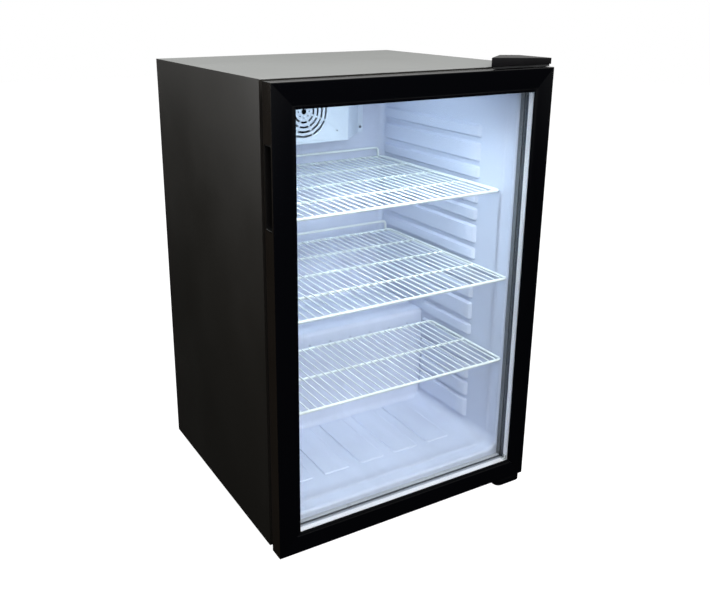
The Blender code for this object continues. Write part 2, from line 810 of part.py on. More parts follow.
def make_pipes():
    """The discharge pipe to the condenser and the liquid pipe to the drier."""
    x, y = COMPRESSOR_XY
    make_pipe(
        "discharge_pipe",
        [
            (x - 0.052, y + 0.038, 0.160),
            (x - 0.075, y + 0.042, 0.190),
            (0.000, 0.190, 0.216),
            (-0.120, 0.180, 0.218),
            (-0.200, 0.170, 0.219),
            (-0.222, 0.165, 0.2085),
        ],
        DISCHARGE_RADIUS,
    )
    make_pipe(
        "liquid_pipe",
        [
            (-0.2045, 0.2265, 0.048),
            (-0.180, 0.2270, 0.044),
            (-0.120, 0.2270, 0.040),
            (-0.030, 0.2265, 0.040),
            (0.006, 0.222, 0.046),
            (DRIER_XY[0], DRIER_XY[1], 0.0655),
        ],
        LIQUID_RADIUS,
    )


def make_tray():
    """The open tray in which the defrost water dries off."""
    zs = (PAN_TOP + GAP, PAN_TOP + TRAY_HEIGHT)
    tray = make_box("drain_tray", "black_plastic", TRAY_X, TRAY_Y, zs)
    hollow = bmesh.new()
    wall = TRAY_WALL
    inside_x = (TRAY_X[0] + wall, TRAY_X[1] - wall)
    inside_y = (TRAY_Y[0] + wall, TRAY_Y[1] - wall)
    add_box(hollow, inside_x, inside_y, (zs[0] + wall, zs[1] + 0.02))
    boolean(tray, "drain_tray_hollow", hollow)


def make_rear_controls():
    """The rocker switch for the light and the power inlet, both in the rear cover."""
    face = BODY_BACK + GAP + COVER_T + GAP
    switch_x = (SWITCH_HOLE_X[0] + GAP, SWITCH_HOLE_X[1] - GAP)
    switch_z = (SWITCH_HOLE_Z[0] + GAP, SWITCH_HOLE_Z[1] - GAP)
    bm = bmesh.new()
    add_box(
        bm,
        (switch_x[0] - 0.002, switch_x[1] + 0.002),
        (face, face + 0.0015),
        (switch_z[0] - 0.002, switch_z[1] + 0.002),
    )
    bezel = finish("light_switch_body", bm, "black_plastic")
    body = bmesh.new()
    add_box(body, switch_x, (BODY_BACK - 0.016, face + 0.001), switch_z)
    boolean(bezel, "light_switch_barrel", body, "UNION")
    pocket = bmesh.new()
    wall = SWITCH_WALL
    pocket_x = (switch_x[0] + wall, switch_x[1] - wall)
    pocket_z = (switch_z[0] + wall, switch_z[1] - wall)
    add_box(pocket, pocket_x, (BODY_BACK - 0.010, face + 0.01), pocket_z)
    boolean(bezel, "light_switch_pocket", pocket)
    mid_z = sum(switch_z) / 2
    half = (pocket_z[1] - pocket_z[0]) / 2 - 0.0022
    pivot_y = face - 0.0035
    outline = [
        (pivot_y - 0.0030, mid_z - 0.004),
        (pivot_y + 0.0035, mid_z - half),
        (pivot_y + 0.0045, mid_z),
        (pivot_y + 0.0070, mid_z + half),
        (pivot_y - 0.0030, mid_z + 0.004),
    ]
    bm = bmesh.new()
    add_prism(bm, outline, "X", pocket_x[0] + GAP, pocket_x[1] - GAP)
    origin = (sum(switch_x) / 2, pivot_y, mid_z)
    finish("light_switch_rocker", bm, "gloss_black", origin)
    inlet_x = (INLET_HOLE_X[0] + GAP, INLET_HOLE_X[1] - GAP)
    inlet_z = (INLET_HOLE_Z[0] + GAP, INLET_HOLE_Z[1] - GAP)
    bm = bmesh.new()
    add_box(
        bm,
        (inlet_x[0] - 0.009, inlet_x[1] + 0.009),
        (face, face + 0.0025),
        (inlet_z[0] - 0.0025, inlet_z[1] + 0.0025),
    )
    inlet = finish("power_inlet", bm, "black_plastic")
    body = bmesh.new()
    add_box(body, inlet_x, (BODY_BACK - 0.018, face + 0.002), inlet_z)
    boolean(inlet, "power_inlet_barrel", body, "UNION")
    socket = bmesh.new()
    add_box(
        socket,
        (inlet_x[0] + INLET_WALL, inlet_x[1] - INLET_WALL),
        (BODY_BACK - 0.014, face + 0.01),
        (inlet_z[0] + INLET_WALL, inlet_z[1] - INLET_WALL),
    )
    boolean(inlet, "power_inlet_socket", socket)


# ---------------------------------------------------------------------------------------------
# Door
# ---------------------------------------------------------------------------------------------


def rail_outline():
    """The door rail's section as (distance from the outer edge, distance from the front)."""
    slot = (PANE_FRONT - GAP, PANE_FRONT + 2 * PANE_T + SPACER_T + 3 * GAP)
    return [
        (0.0, 0.0),
        (RAIL_W, 0.0),
        (RAIL_W, slot[0]),
        (GLASS_SLOT_EDGE, slot[0]),
        (GLASS_SLOT_EDGE, slot[1]),
        (REAR_LIP_W, slot[1]),
        (REAR_LIP_W, DOOR_T),
        (0.0, DOOR_T),
    ]


def rail_point(side, w, t, along):
    """A point of a rail: side is top, bottom, left or right and along runs down its length."""
    y = DOOR_FRONT + t
    return {
        "top": (along, y, DOOR_TOP - w),
        "bottom": (along, y, DOOR_BASE + w),
        "left": (-DOOR_X + w, y, along),
        "right": (DOOR_X - w, y, along),
    }[side]


def add_rail(bm, side, outline, mitre_gap):
    """A section swept along one side of the door; with no mitre gap its ends are square."""
    if side in ("top", "bottom"):
        low, high = -DOOR_X, DOOR_X
    else:
        low, high = DOOR_BASE, DOOR_TOP
    ends = []
    for end, sign in ((low, 1), (high, -1)):
        loop = []
        for w, t in outline:
            slant = sign * (w + mitre_gap) if mitre_gap else 0.0
            loop.append(bm.verts.new(rail_point(side, w, t, end + slant)))
        ends.append(loop)
    bm.faces.new(ends[0])
    bm.faces.new(list(reversed(ends[1])))
    count = len(outline)
    for i in range(count):
        j = (i + 1) % count
        bm.faces.new((ends[0][i], ends[1][i], ends[1][j], ends[0][j]))


def section(w, t):
    """A rectangle of the door's section."""
    return [(w[0], t[0]), (w[1], t[0]), (w[1], t[1]), (w[0], t[1])]


def add_bush_holes(bm, radius):
    """The two bores for the hinge bushes, from the door's top and bottom edges."""
    pivot = (PIVOT_X, PIVOT_Y)
    depth = BUSH_DEPTH + GAP
    add_cylinder(bm, pivot, radius, "Z", DOOR_TOP - depth, DOOR_TOP + 0.01)
    add_cylinder(bm, pivot, radius, "Z", DOOR_BASE - 0.01, DOOR_BASE + depth)


def make_door_frame():
    """Four mitred hollow rails and the hinge bushes."""
    pivot = (PIVOT_X, PIVOT_Y, 0.0)
    kinds = {"top": "rail", "bottom": "rail", "left": "stile", "right": "stile"}
    for side, kind in kinds.items():
        name = f"{side}_{kind}"
        bm = bmesh.new()
        add_rail(bm, side, rail_outline(), GAP / 2)
        rail = finish("door_" + name, bm, "gloss_black", pivot)
        hollow = bmesh.new()
        add_rail(hollow, side, section(HOLLOW_W, HOLLOW_T), 0.0)
        boolean(rail, name + "_hollow", hollow)
        if side != "left":
            bores = bmesh.new()
            add_bush_holes(bores, BUSH_RADIUS + GAP)
            boolean(rail, name + "_bores", bores)
        else:
            pocket = bmesh.new()
            add_box(
                pocket,
                (-DOOR_X - 0.01, -DOOR_X + HOLLOW_W[0] + 0.002),
                (DOOR_FRONT + POCKET_T[0] - GAP, DOOR_FRONT + POCKET_T[1] + GAP),
                (POCKET_BASE - GAP, POCKET_TOP + GAP),
            )
            boolean(rail, name + "_pocket", pocket)
    for name, low in (("door_bush_top", DOOR_TOP - BUSH_DEPTH), ("door_bush_bottom", DOOR_BASE)):
        spot = (PIVOT_X, PIVOT_Y)
        bm = bmesh.new()
        add_tube(bm, spot, BUSH_RADIUS, BUSH_BORE, "Z", low, low + BUSH_DEPTH, 16)
        finish(name, bm, "white_plastic", pivot, smooth=True)


def make_handle_cup():
    """The finger pocket set into the door's free edge."""
    pivot = (PIVOT_X, PIVOT_Y, 0.0)
    ys = (DOOR_FRONT + POCKET_T[0], DOOR_FRONT + POCKET_T[1])
    cup = make_box(
        "handle_cup",
        "black_plastic",
        (-DOOR_X, -DOOR_X + POCKET_DEPTH),
        ys,
        (POCKET_BASE, POCKET_TOP),
        pivot,
    )
    hollow = bmesh.new()
    add_box(
        hollow,
        (-DOOR_X - 0.01, -DOOR_X + POCKET_DEPTH - CUP_WALL),
        (ys[0] + CUP_WALL, ys[1] - CUP_WALL),
        (POCKET_BASE + CUP_WALL, POCKET_TOP - CUP_WALL),
    )
    boolean(cup, "handle_cup_hollow", hollow)


def door_rect(w, radius=0.0005, steps=1):
    """The door's outline moved inward by w."""
    xs = (-DOOR_X + w, DOOR_X - w)
    return rounded_rect(xs, (DOOR_BASE + w, DOOR_TOP - w), radius, steps)


def make_glazing():
    """Two panes, the spacer bar between them and the magnetic gasket behind."""
    pivot = (PIVOT_X, PIVOT_Y, 0.0)
    outer_y = DOOR_FRONT + PANE_FRONT
    spacer_y = outer_y + PANE_T + GAP
    inner_y = spacer_y + SPACER_T + GAP
    xs = (-DOOR_X + GLASS_EDGE, DOOR_X - GLASS_EDGE)
    zs = (DOOR_BASE + GLASS_EDGE, DOOR_TOP - GLASS_EDGE)
    make_box("outer_glass", "glass", xs, (outer_y, outer_y + PANE_T), zs, pivot)
    make_box("inner_glass", "glass", xs, (inner_y, inner_y + PANE_T), zs, pivot)
    bm = bmesh.new()
    edge = GLASS_EDGE + 0.0005
    outline = (door_rect(edge), door_rect(edge + SPACER_W))
    add_ring(bm, *outline, "Y", spacer_y, spacer_y + SPACER_T)
    finish("glass_spacer", bm, "spacer_metal", pivot)
    bm = bmesh.new()
    outline = (door_rect(GASKET_W[0], 0.004, 2), door_rect(GASKET_W[1], 0.004, 2))
    add_ring(bm, *outline, "Y", DOOR_BACK + GAP, BODY_FRONT - GAP)
    finish("door_gasket", bm, "gasket_grey", pivot)


# ---------------------------------------------------------------------------------------------
# Hinges
# ---------------------------------------------------------------------------------------------


def hinge_plan(inset):
    """The top hinge's plan: wide over the door, cut back slantwise to its screws."""
    slant = (HINGE_NECK - HINGE_LEFT) / (HINGE_BACK - HINGE_FRONT)
    shift = inset * math.hypot(1.0, slant)
    front = HINGE_FRONT + inset
    back = HINGE_BACK - inset
    right = HINGE_RIGHT - inset
    return [
        (HINGE_LEFT + shift + slant * inset, front),
        (right, front),
        (right, back),
        (HINGE_NECK + shift - slant * inset, back),
    ]


def add_cap(bm, inset, low, high):
    """A prism on the hinge plan whose top falls towards the cabinet's side."""
    add_prism(bm, hinge_plan(inset), "Z", low, high)
    for vert in bm.verts:
        if vert.co.z > (low + high) / 2:
            vert.co.z -= CAP_FALL * (vert.co.x - HINGE_LEFT) / (HINGE_RIGHT - HINGE_LEFT)


def make_hinges():
    """The drilled plates and pins that carry the door, and the cap over the top plate."""
    pivot_2d = (PIVOT_X, PIVOT_Y)
    top_z = (BRACKET_Z, BRACKET_Z + BRACKET_T)
    bm = bmesh.new()
    add_prism(bm, hinge_plan(0.002), "Z", *top_z)
    bracket = finish("top_hinge_bracket", bm, "zinc_steel")
    low_z = (BODY_BASE - GAP - BRACKET_T, BODY_BASE - GAP)
    bm = bmesh.new()
    front = DOOR_FRONT + 0.002
    corner = LOW_BRACKET_CORNER
    plate = rounded_rect(LOW_BRACKET_X, (front, BODY_FRONT + 0.030), corner, 3)
    add_prism(bm, plate, "Z", *low_z)
    lower = finish("bottom_hinge_bracket", bm, "compressor_paint", smooth=True)
    boss = bmesh.new()
    nose = rounded_rect(LOW_BRACKET_X, (front, BODY_FRONT - 0.004), corner, 3)
    add_prism(boss, nose, "Z", BODY_BASE - NOSE_DROP, BODY_BASE + 0.0015)
    boolean(lower, "bottom_hinge_nose", boss, "UNION")

    top_holes = bmesh.new()
    sheet_holes = bmesh.new()
    for x, dy in TOP_SCREWS:
        spot = (x, BODY_FRONT + dy)
        plate_z = (top_z[0] - 0.01, top_z[1] + 0.01)
        add_cylinder(top_holes, spot, SCREW_RADIUS, "Z", *plate_z, 10)
        sheet_z = (BODY_TOP - 0.005, BODY_TOP + 0.005)
        add_cylinder(sheet_holes, spot, SCREW_RADIUS, "Z", *sheet_z, 10)
    add_cylinder(top_holes, pivot_2d, PIN_RADIUS + GAP, "Z", top_z[0] - 0.01, top_z[1] + 0.01)
    boolean(bracket, "top_hinge_holes", top_holes)
    boolean(bpy.data.objects["top_panel"], "top_panel_holes", sheet_holes)
    low_holes = bmesh.new()
    pan_holes = bmesh.new()
    for x, dy in BOTTOM_SCREWS:
        spot = (x, BODY_FRONT + dy)
        plate_z = (low_z[0] - 0.01, low_z[1] + 0.01)
        add_cylinder(low_holes, spot, SCREW_RADIUS, "Z", *plate_z, 10)
        pan_z = (BODY_BASE - 0.005, PAN_TOP + 0.005)
        add_cylinder(pan_holes, spot, SCREW_RADIUS, "Z", *pan_z, 10)
    add_cylinder(low_holes, pivot_2d, PIN_RADIUS + GAP, "Z", low_z[0] - 0.02, low_z[1] + 0.02)
    boolean(lower, "bottom_hinge_holes", low_holes)
    boolean(bpy.data.objects["base_pan"], "base_pan_holes", pan_holes)

    origin = (PIVOT_X, PIVOT_Y, 0.0)
    reach = BUSH_DEPTH - 0.002
    head = PIN_RADIUS + 0.0015
    for name, tip, seat, sign in (
        ("top_hinge_pin", DOOR_TOP - reach, top_z[1] + GAP, 1),
        ("bottom_hinge_pin", DOOR_BASE + reach, BODY_BASE - NOSE_DROP - GAP, -1),
    ):
        end = seat + sign * 0.0022
        profile = [(PIN_RADIUS, tip), (PIN_RADIUS, seat), (head, seat), (head, end)]
        pin = bmesh.new()
        add_turned(pin, pivot_2d, profile, count=16)
        finish(name, pin, "zinc_steel", origin, smooth=True)

    cap_z = (top_z[1] + GAP, top_z[1] + CAP_HEIGHT)
    bm = bmesh.new()
    add_cap(bm, 0.0, *cap_z)
    cap = finish("top_hinge_cover", bm, "black_plastic")
    hollow = bmesh.new()
    add_cap(hollow, CAP_WALL, cap_z[0] - 0.01, cap_z[1] - CAP_WALL)
    boolean(cap, "top_hinge_cover_hollow", hollow)


# ---------------------------------------------------------------------------------------------
# Shelves
# ---------------------------------------------------------------------------------------------


def make_shelf(name, level, front, depth, bays, backstop):
    """A welded wire shelf: a frame, cross wires, thin wires on top and perhaps a backstop."""
    back = front + depth
    thin = 2 * THIN_WIRE
    thick = 2 * FRAME_WIRE
    frame_top = level - thin + WELD
    frame_z = (frame_top - thick, frame_top)
    outer = rounded_rect((-SHELF_X, SHELF_X), (front, back), SHELF_CORNER, 4)
    inside = ((-SHELF_X + thick, SHELF_X - thick), (front + thick, back - thick))
    bm = bmesh.new()
    add_ring(bm, outer, rounded_rect(*inside, SHELF_CORNER - thick, 4), "Z", *frame_z)
    shelf = finish(name, bm, "wire_coating")
    wires = bmesh.new()
    reach = SHELF_X - FRAME_WIRE
    for i in range(1, bays):
        y = front + depth * i / bays
        bar_y = (y - FRAME_WIRE, y + FRAME_WIRE)
        add_box(wires, (-reach, reach), bar_y, (frame_z[0] + WELD / 2, level - thin - GAP))
    pitch = 2 * reach / (WIRE_COUNT + 1)
    for i in range(1, WIRE_COUNT + 1):
        x = -reach + i * pitch
        wire_y = (front + FRAME_WIRE, back - FRAME_WIRE)
        add_box(wires, (x - THIN_WIRE, x + THIN_WIRE), wire_y, (level - thin, level))
    boolean(shelf, name + "_wires", wires, "UNION")
    if backstop:
        add_backstop(name, level, back)


def add_backstop(name, level, back):
    """The raised wire along a shelf's rear edge, bent down at both ends."""
    reach = SHELF_X - BACKSTOP_INSET
    low = level + GAP
    top = level + BACKSTOP_HEIGHT
    r = FRAME_WIRE
    outer = rounded_rect((-reach, reach), (low - 0.02, top), 0.008, 3)
    inner_x = (-reach + 2 * r, reach - 2 * r)
    inner = rounded_rect(inner_x, (low - 0.02 + 2 * r, top - 2 * r), 0.004, 3)
    bm = bmesh.new()
    add_ring(bm, outer, inner, "Y", back - 2 * r, back)
    wire = finish(name + "_backstop", bm, "wire_coating")
    below = bmesh.new()
    add_box(below, (-reach - 0.01, reach + 0.01), (back - 0.02, back + 0.02), (low - 0.04, low))
    boolean(wire, name + "_backstop_trim", below)


def make_shelves():
    """Two full-depth shelves and the short one in front of the machine compartment."""
    names = ("shelf_upper", "shelf_middle", "shelf_lower")
    depths = (SHELF_DEPTH, SHELF_DEPTH, LOW_SHELF_DEPTH)
    bays = (4, 4, 2)
    rows = zip(names, shelf_levels(), SHELF_FRONTS, depths, bays)
    for name, level, front, depth, count in rows:
        make_shelf(name, level, front, depth, count, backstop=count > 2)


def clear_scene():
    """Removes everything a new Blender file holds."""
    for obj in list(bpy.data.objects):
        bpy.data.objects.remove(obj, do_unlink=True)


def main():
    clear_scene()
    make_panels()
    make_liner()
    make_foam()
    make_front_trim()
    make_compartment()
    make_feet()
    make_fan_cover()
    make_evaporator()
    make_lamp()
    make_compressor()
    make_condenser()
    make_pipes()
    make_tray()
    make_rear_controls()
    make_door_frame()
    make_handle_cup()
    make_glazing()
    make_hinges()
    make_shelves()


main()
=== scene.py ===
"""Looks for the countertop glass door merchandiser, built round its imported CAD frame."""

import math

import bmesh
import bpy
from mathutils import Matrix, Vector


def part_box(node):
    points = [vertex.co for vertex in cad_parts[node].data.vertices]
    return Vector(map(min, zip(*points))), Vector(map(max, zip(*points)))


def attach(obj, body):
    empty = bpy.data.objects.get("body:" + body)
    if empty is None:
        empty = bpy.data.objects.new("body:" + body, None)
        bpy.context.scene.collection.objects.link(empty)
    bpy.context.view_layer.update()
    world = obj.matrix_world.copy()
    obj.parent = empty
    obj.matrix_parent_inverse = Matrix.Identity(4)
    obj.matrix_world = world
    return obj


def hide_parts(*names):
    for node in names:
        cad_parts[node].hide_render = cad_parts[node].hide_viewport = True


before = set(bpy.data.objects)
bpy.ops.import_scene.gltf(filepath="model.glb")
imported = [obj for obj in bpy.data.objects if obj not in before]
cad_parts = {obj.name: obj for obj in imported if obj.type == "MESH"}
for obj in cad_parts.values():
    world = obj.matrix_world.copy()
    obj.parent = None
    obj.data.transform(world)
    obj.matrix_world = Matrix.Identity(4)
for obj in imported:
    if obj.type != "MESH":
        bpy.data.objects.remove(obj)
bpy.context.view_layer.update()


# ---------------------------------------------------------------------------------------------
# Places, all read from the frame
# ---------------------------------------------------------------------------------------------

panel_low, panel_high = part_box("side_panel_right")
BODY_FRONT, BODY_BACK = panel_low.y, panel_high.y
BODY_BASE = panel_low.z

door_low, door_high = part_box("door_bottom_rail")[0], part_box("door_top_rail")[1]
DOOR_X = -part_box("door_left_stile")[0].x
DOOR_FRONT, DOOR_BACK = door_low.y, door_high.y
DOOR_BASE, DOOR_TOP = door_low.z, door_high.z
RAIL_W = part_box("door_bottom_rail")[1].z - DOOR_BASE

liner_low, liner_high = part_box("liner")
LINER_T = 0.002
CAVITY_X = liner_high.x - LINER_T
FLOOR = liner_low.z + LINER_T
CEILING = liner_high.z - LINER_T
CAVITY_BACK = liner_high.y - LINER_T
LINER_FRONT = liner_low.y
HUMP_FRONT = BODY_FRONT + 0.245
HUMP_TOP = 0.258

# Bands on the side walls that carry the shelves: lowest and highest point of each
RIB_HEIGHT = 0.006
RIB_FRONT = BODY_FRONT + 0.088
RIB_BACK = BODY_FRONT + 0.390
RIB_RAMP = 0.0036
RIB_NOSE = 0.0065
RIB_RADIUS = 0.0060
RIB_BANDS = ((0.006, 0.029), (0.037, 0.072), (0.080, 0.104), (0.112, 0.147))
RIBS = [(0.084, 0.123), (0.129, 0.159), (0.165, 0.197), (0.203, 0.2435)]
for base, count in ((0.5545, 3), (0.4025, 4), (0.2515, 4)):
    RIBS += [(base + low, base + high) for low, high in RIB_BANDS[:count]]

# Pads on the floor, each inside a fine groove
PAD_HEIGHT = 0.0015
PAD_RAMP = 0.0012
PAD_RADIUS = 0.004
PAD_FRONT = RIB_FRONT - 0.010
PAD_BACK = HUMP_FRONT - 0.008
PAD_PITCH = 0.0745
PAD_W = 0.052
PADS = [(i * PAD_PITCH - PAD_W / 2, i * PAD_PITCH + PAD_W / 2) for i in range(-2, 3)]
GROOVE_W = 0.0014
GROOVE_DEPTH = 0.0009

# Corners of the tub, its flared lip and the step
CORNER = 0.022
COVE = 0.016
LIP_FLARE = 0.0012
LIP_DEPTH = 0.018
LIP_EASE = 0.006
STEP_NOSE = 0.008
STEP_FOOT = 0.010
STEP_HEEL = 0.015


# ---------------------------------------------------------------------------------------------
# Materials
# ---------------------------------------------------------------------------------------------


class Graph:
    """A node tree, with short ways to add nodes to it."""

    def __init__(self, tree):
        self.tree = tree

    def node(self, kind, inputs=None, **values):
        """Adds a node; each of its inputs is given another node's output or a constant."""
        node = self.tree.nodes.new(kind)
        for key, value in values.items():
            setattr(node, key, value)
        for socket, value in (inputs or {}).items():
            if isinstance(value, bpy.types.NodeSocket):
                self.tree.links.new(value, node.inputs[socket])
            else:
                node.inputs[socket].default_value = value
        return node

    def ranged(self, value, low, high, source=(0.3, 0.7), **values):
        inputs = {"From Min": source[0], "From Max": source[1], "To Min": low, "To Max": high}
        node = self.node("ShaderNodeMapRange", {"Value": value, **inputs}, **values)
        return node.outputs["Result"]


class Look(Graph):
    """A Principled material whose colour, gloss and surface vary with noise."""

    def __init__(self, name, colour, roughness, metallic=0.0):
        self.material = bpy.data.materials.new(name)
        self.material.use_nodes = True
        super().__init__(self.material.node_tree)
        self.shader = self.tree.nodes["Principled BSDF"]
        self.shader.inputs["Base Color"].default_value = (*colour, 1.0)
        self.shader.inputs["Roughness"].default_value = roughness
        self.shader.inputs["Metallic"].default_value = metallic
        self.coords = self.node("ShaderNodeTexCoord").outputs["Object"]
        self.colour = colour
        self.normal = None

    def noise(self, scale, detail=3.0, stretch=(1.0, 1.0, 1.0)):
        mapping = self.node("ShaderNodeMapping", {"Vector": self.coords, "Scale": stretch})
        inputs = {"Vector": mapping.outputs["Vector"], "Scale": scale, "Detail": detail}
        return self.node("ShaderNodeTexNoise", inputs).outputs["Fac"]

    def vary_colour(self, value, dark, light, source=(0.3, 0.7)):
        """Colour runs from dark to light times the base colour as the value rises."""
        inputs = {0: self.ranged(value, 0.0, 1.0, source)}
        for socket, factor in ((6, dark), (7, light)):
            inputs[socket] = (*[c * factor for c in self.colour], 1.0)
        mix = self.node("ShaderNodeMix", inputs, data_type="RGBA")
        self.tree.links.new(mix.outputs[2], self.shader.inputs["Base Color"])

    def vary_roughness(self, value, low, high, source=(0.3, 0.7)):
        rough = self.ranged(value, low, high, source)
        self.tree.links.new(rough, self.shader.inputs["Roughness"])

    def bump(self, value, strength, distance):
        """Adds relief on top of any bump that the look already has."""
        inputs = {"Height": value, "Strength": strength, "Distance": distance}
        if self.normal is not None:
            inputs["Normal"] = self.normal
        self.normal = self.node("ShaderNodeBump", inputs).outputs["Normal"]
        self.tree.links.new(self.normal, self.shader.inputs["Normal"])


def painted(name, colour, roughness, peel=1.0):
    """Baked enamel: fine orange peel, soft wipes in its gloss."""
    look = Look(name, colour, roughness)
    look.vary_roughness(look.noise(6.0), roughness * 0.88, roughness * 1.15)
    look.vary_colour(look.noise(3.0), 0.93, 1.07)
    look.bump(look.noise(650.0, 2.0), 0.10 * peel, 0.0004)
    return look.material


def moulded(name, colour, roughness, grain=0.25, scale=1400.0):
    """Moulded plastic with a fine spark-eroded grain."""
    look = Look(name, colour, roughness)
    look.vary_roughness(look.noise(30.0), roughness * 0.85, roughness * 1.18)
    look.vary_colour(look.noise(12.0), 0.94, 1.06)
    look.bump(look.noise(scale, 4.0), grain, 0.0003)
    return look.material


def brushed(name, colour, roughness, stretch, metallic=1.0):
    """Rolled or drawn metal with lines along one axis."""
    look = Look(name, colour, roughness, metallic)
    lines = look.noise(220.0, 4.0, stretch)
    look.vary_roughness(lines, roughness * 0.8, roughness * 1.3)
    look.vary_colour(look.noise(4.0), 0.92, 1.05)
    look.bump(lines, 0.12, 0.0003)
    return look.material


def spangled(name, colour, roughness):
    """Galvanised sheet with its faint zinc flowers."""
    look = Look(name, colour, roughness, 1.0)
    flowers = look.node("ShaderNodeTexVoronoi", {"Scale": 55.0, "Vector": look.coords})
    grey = look.node("ShaderNodeSeparateColor", {"Color": flowers.outputs["Color"]})
    look.vary_colour(grey.outputs[0], 0.93, 1.05, (0.0, 1.0))
    look.vary_roughness(grey.outputs[1], roughness * 0.85, roughness * 1.2, (0.0, 1.0))
    look.bump(look.noise(420.0, 3.0), 0.06, 0.0003)
    return look.material


def glass_pane(name, tint, gloss):
    """Clear flat glass: see-through, with a mirror that grows at steep angles."""
    material = bpy.data.materials.new(name)
    material.use_nodes = True
    graph = Graph(material.node_tree)
    graph.tree.nodes.clear()
    clear = graph.node("ShaderNodeBsdfTransparent", {"Color": (*tint, 1.0)})
    shine = {"Roughness": 0.02, "Color": (gloss, gloss, gloss, 1.0)}
    mirror = graph.node("ShaderNodeBsdfGlossy", shine)
    facing = graph.node("ShaderNodeLayerWeight", {"Blend": 0.5}).outputs["Facing"]
    steep = graph.node("ShaderNodeMath", {0: facing, 1: 5.0}, operation="POWER")
    fresnel = graph.ranged(steep.outputs[0], 0.04, 1.0, (0.0, 1.0))
    mixed = {0: fresnel, 1: clear.outputs[0], 2: mirror.outputs[0]}
    mix = graph.node("ShaderNodeMixShader", mixed)
    graph.node("ShaderNodeOutputMaterial", {"Surface": mix.outputs[0]})
    return material


def make_liner_look():
    """Vacuum-formed tub plastic: faint draw lines down the walls and a satin skin."""
    look = Look("liner_plastic", (0.63, 0.67, 0.80), 0.34)
    look.vary_colour(look.noise(42.0, 3.0, (1.0, 0.10, 0.16)), 0.950, 1.035)
    look.vary_roughness(look.noise(14.0), 0.28, 0.42)
    look.bump(look.noise(34.0, 2.0, (1.0, 0.25, 0.3)), 0.06, 0.0016)
    look.bump(look.noise(900.0, 2.0), 0.06, 0.0003)
    return look.material


def make_lamp_look():
    """The glowing lens of the light bar, with fine ribs across it."""
    look = Look("lamp_diffuser", (0.90, 0.94, 1.0), 0.3)
    look.shader.inputs["Emission Color"].default_value = (0.78, 0.88, 1.0, 1.0)
    look.shader.inputs["Emission Strength"].default_value = 3.0
    look.bump(look.noise(700.0, 1.0, (1.0, 0.05, 1.0)), 0.2, 0.0004)
    return look.material


LOOKS = {
    "side": painted("side_enamel_dark", (0.0120, 0.0110, 0.0090), 0.40),
    # The lid's light grey, far paler than the dark sides, is painted sheen: it stands for studio
    # light glancing off the lid
    "top": painted("top_grey_painted_sheen", (0.170, 0.178, 0.170), 0.42, 0.5),
    "cover": moulded("cover_plastic_black", (0.0034, 0.0034, 0.0037), 0.42, 0.7, 700.0),
    "black": moulded("plastic_black", (0.0090, 0.0090, 0.0095), 0.38, 0.25),
    "gloss": painted("door_black_gloss", (0.0008, 0.0009, 0.0013), 0.16, 0.35),
    "cup": moulded("cup_plastic_black", (0.0030, 0.0029, 0.0028), 0.34, 0.2),
    "liner": make_liner_look(),
    "white": moulded("plastic_white", (0.72, 0.78, 0.86), 0.34, 0.12),
    "plug": moulded("plug_grey", (0.42, 0.46, 0.54), 0.40, 0.12),
    "edge": painted("door_black_side", (0.0085, 0.0062, 0.0042), 0.30, 0.35),
    "wire": moulded("wire_epoxy_white", (0.86, 0.91, 0.895), 0.24, 0.10, 500.0),
    "foam": moulded("foam_yellow", (0.78, 0.68, 0.40), 0.95, 0.8, 260.0),
    "zinc": spangled("zinc_sheet", (0.50, 0.51, 0.53), 0.42),
    "screw": brushed("screw_steel", (0.34, 0.34, 0.36), 0.34, (1.0, 1.0, 0.1)),
    "spacer": brushed("spacer_aluminium", (0.95, 0.945, 0.95), 0.36, (1.0, 12.0, 1.0), 0.25),
    "key": moulded("corner_key_grey", (0.30, 0.33, 0.32), 0.40, 0.2),
    "aluminium": brushed("fin_aluminium", (0.70, 0.71, 0.73), 0.36, (1.0, 1.0, 8.0)),
    "copper": brushed("copper_tube", (0.66, 0.31, 0.18), 0.30, (1.0, 1.0, 1.0)),
    "rubber": moulded("rubber_black", (0.020, 0.020, 0.021), 0.80, 0.5, 700.0),
    "gasket": moulded("gasket_grey", (0.135, 0.140, 0.148), 0.40, 0.15),
    # Dark grey: painted shade on the gasket's base and neck and in the step's drain slots; the real
    # colour of the dial's pointer line
    "gasket_base": moulded("dark_mark_and_painted_shade", (0.040, 0.043, 0.048), 0.36, 0.15),
    # Painted shade: the dark inner lips of the top rail and the stiles
    "shaded_lip": moulded("inner_lip_painted_shade", (0.030, 0.033, 0.040), 0.22, 0.12),
    # Painted light: a light grey on the bottom rail's inner lip and the gasket's bottom run, which
    # face up into the light
    "lit_sill": moulded("bottom_painted_light", (0.40, 0.40, 0.42), 0.30, 0.12),
    "paint": painted("machine_black", (0.012, 0.012, 0.013), 0.34),
    "lamp": make_lamp_look(),
    "outer_glass": glass_pane("glass_outer", (0.955, 0.968, 0.965), 0.9),
    "inner_glass": glass_pane("glass_inner", (0.965, 0.975, 0.972), 0.9),
}


# ---------------------------------------------------------------------------------------------
# Mesh helpers
# ---------------------------------------------------------------------------------------------


def settle(name, bm, look, body, node=None, smooth=35.0):
    """Turns a bmesh into a piece of the object that rides on a body and stands for a node."""
    bmesh.ops.recalc_face_normals(bm, faces=bm.faces)
    mesh = bpy.data.meshes.new(name)
    bm.to_mesh(mesh)
    bm.free()
    if smooth:
        mesh.shade_smooth()
        mesh.set_sharp_from_angle(angle=math.radians(smooth))
    piece = bpy.data.objects.new(name, mesh)
    bpy.context.scene.collection.objects.link(piece)
    for entry in look if isinstance(look, (list, tuple)) else [look]:
        mesh.materials.append(LOOKS[entry])
    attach(piece, body)
    if node:
        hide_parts(*([node] if isinstance(node, str) else node))
    return piece


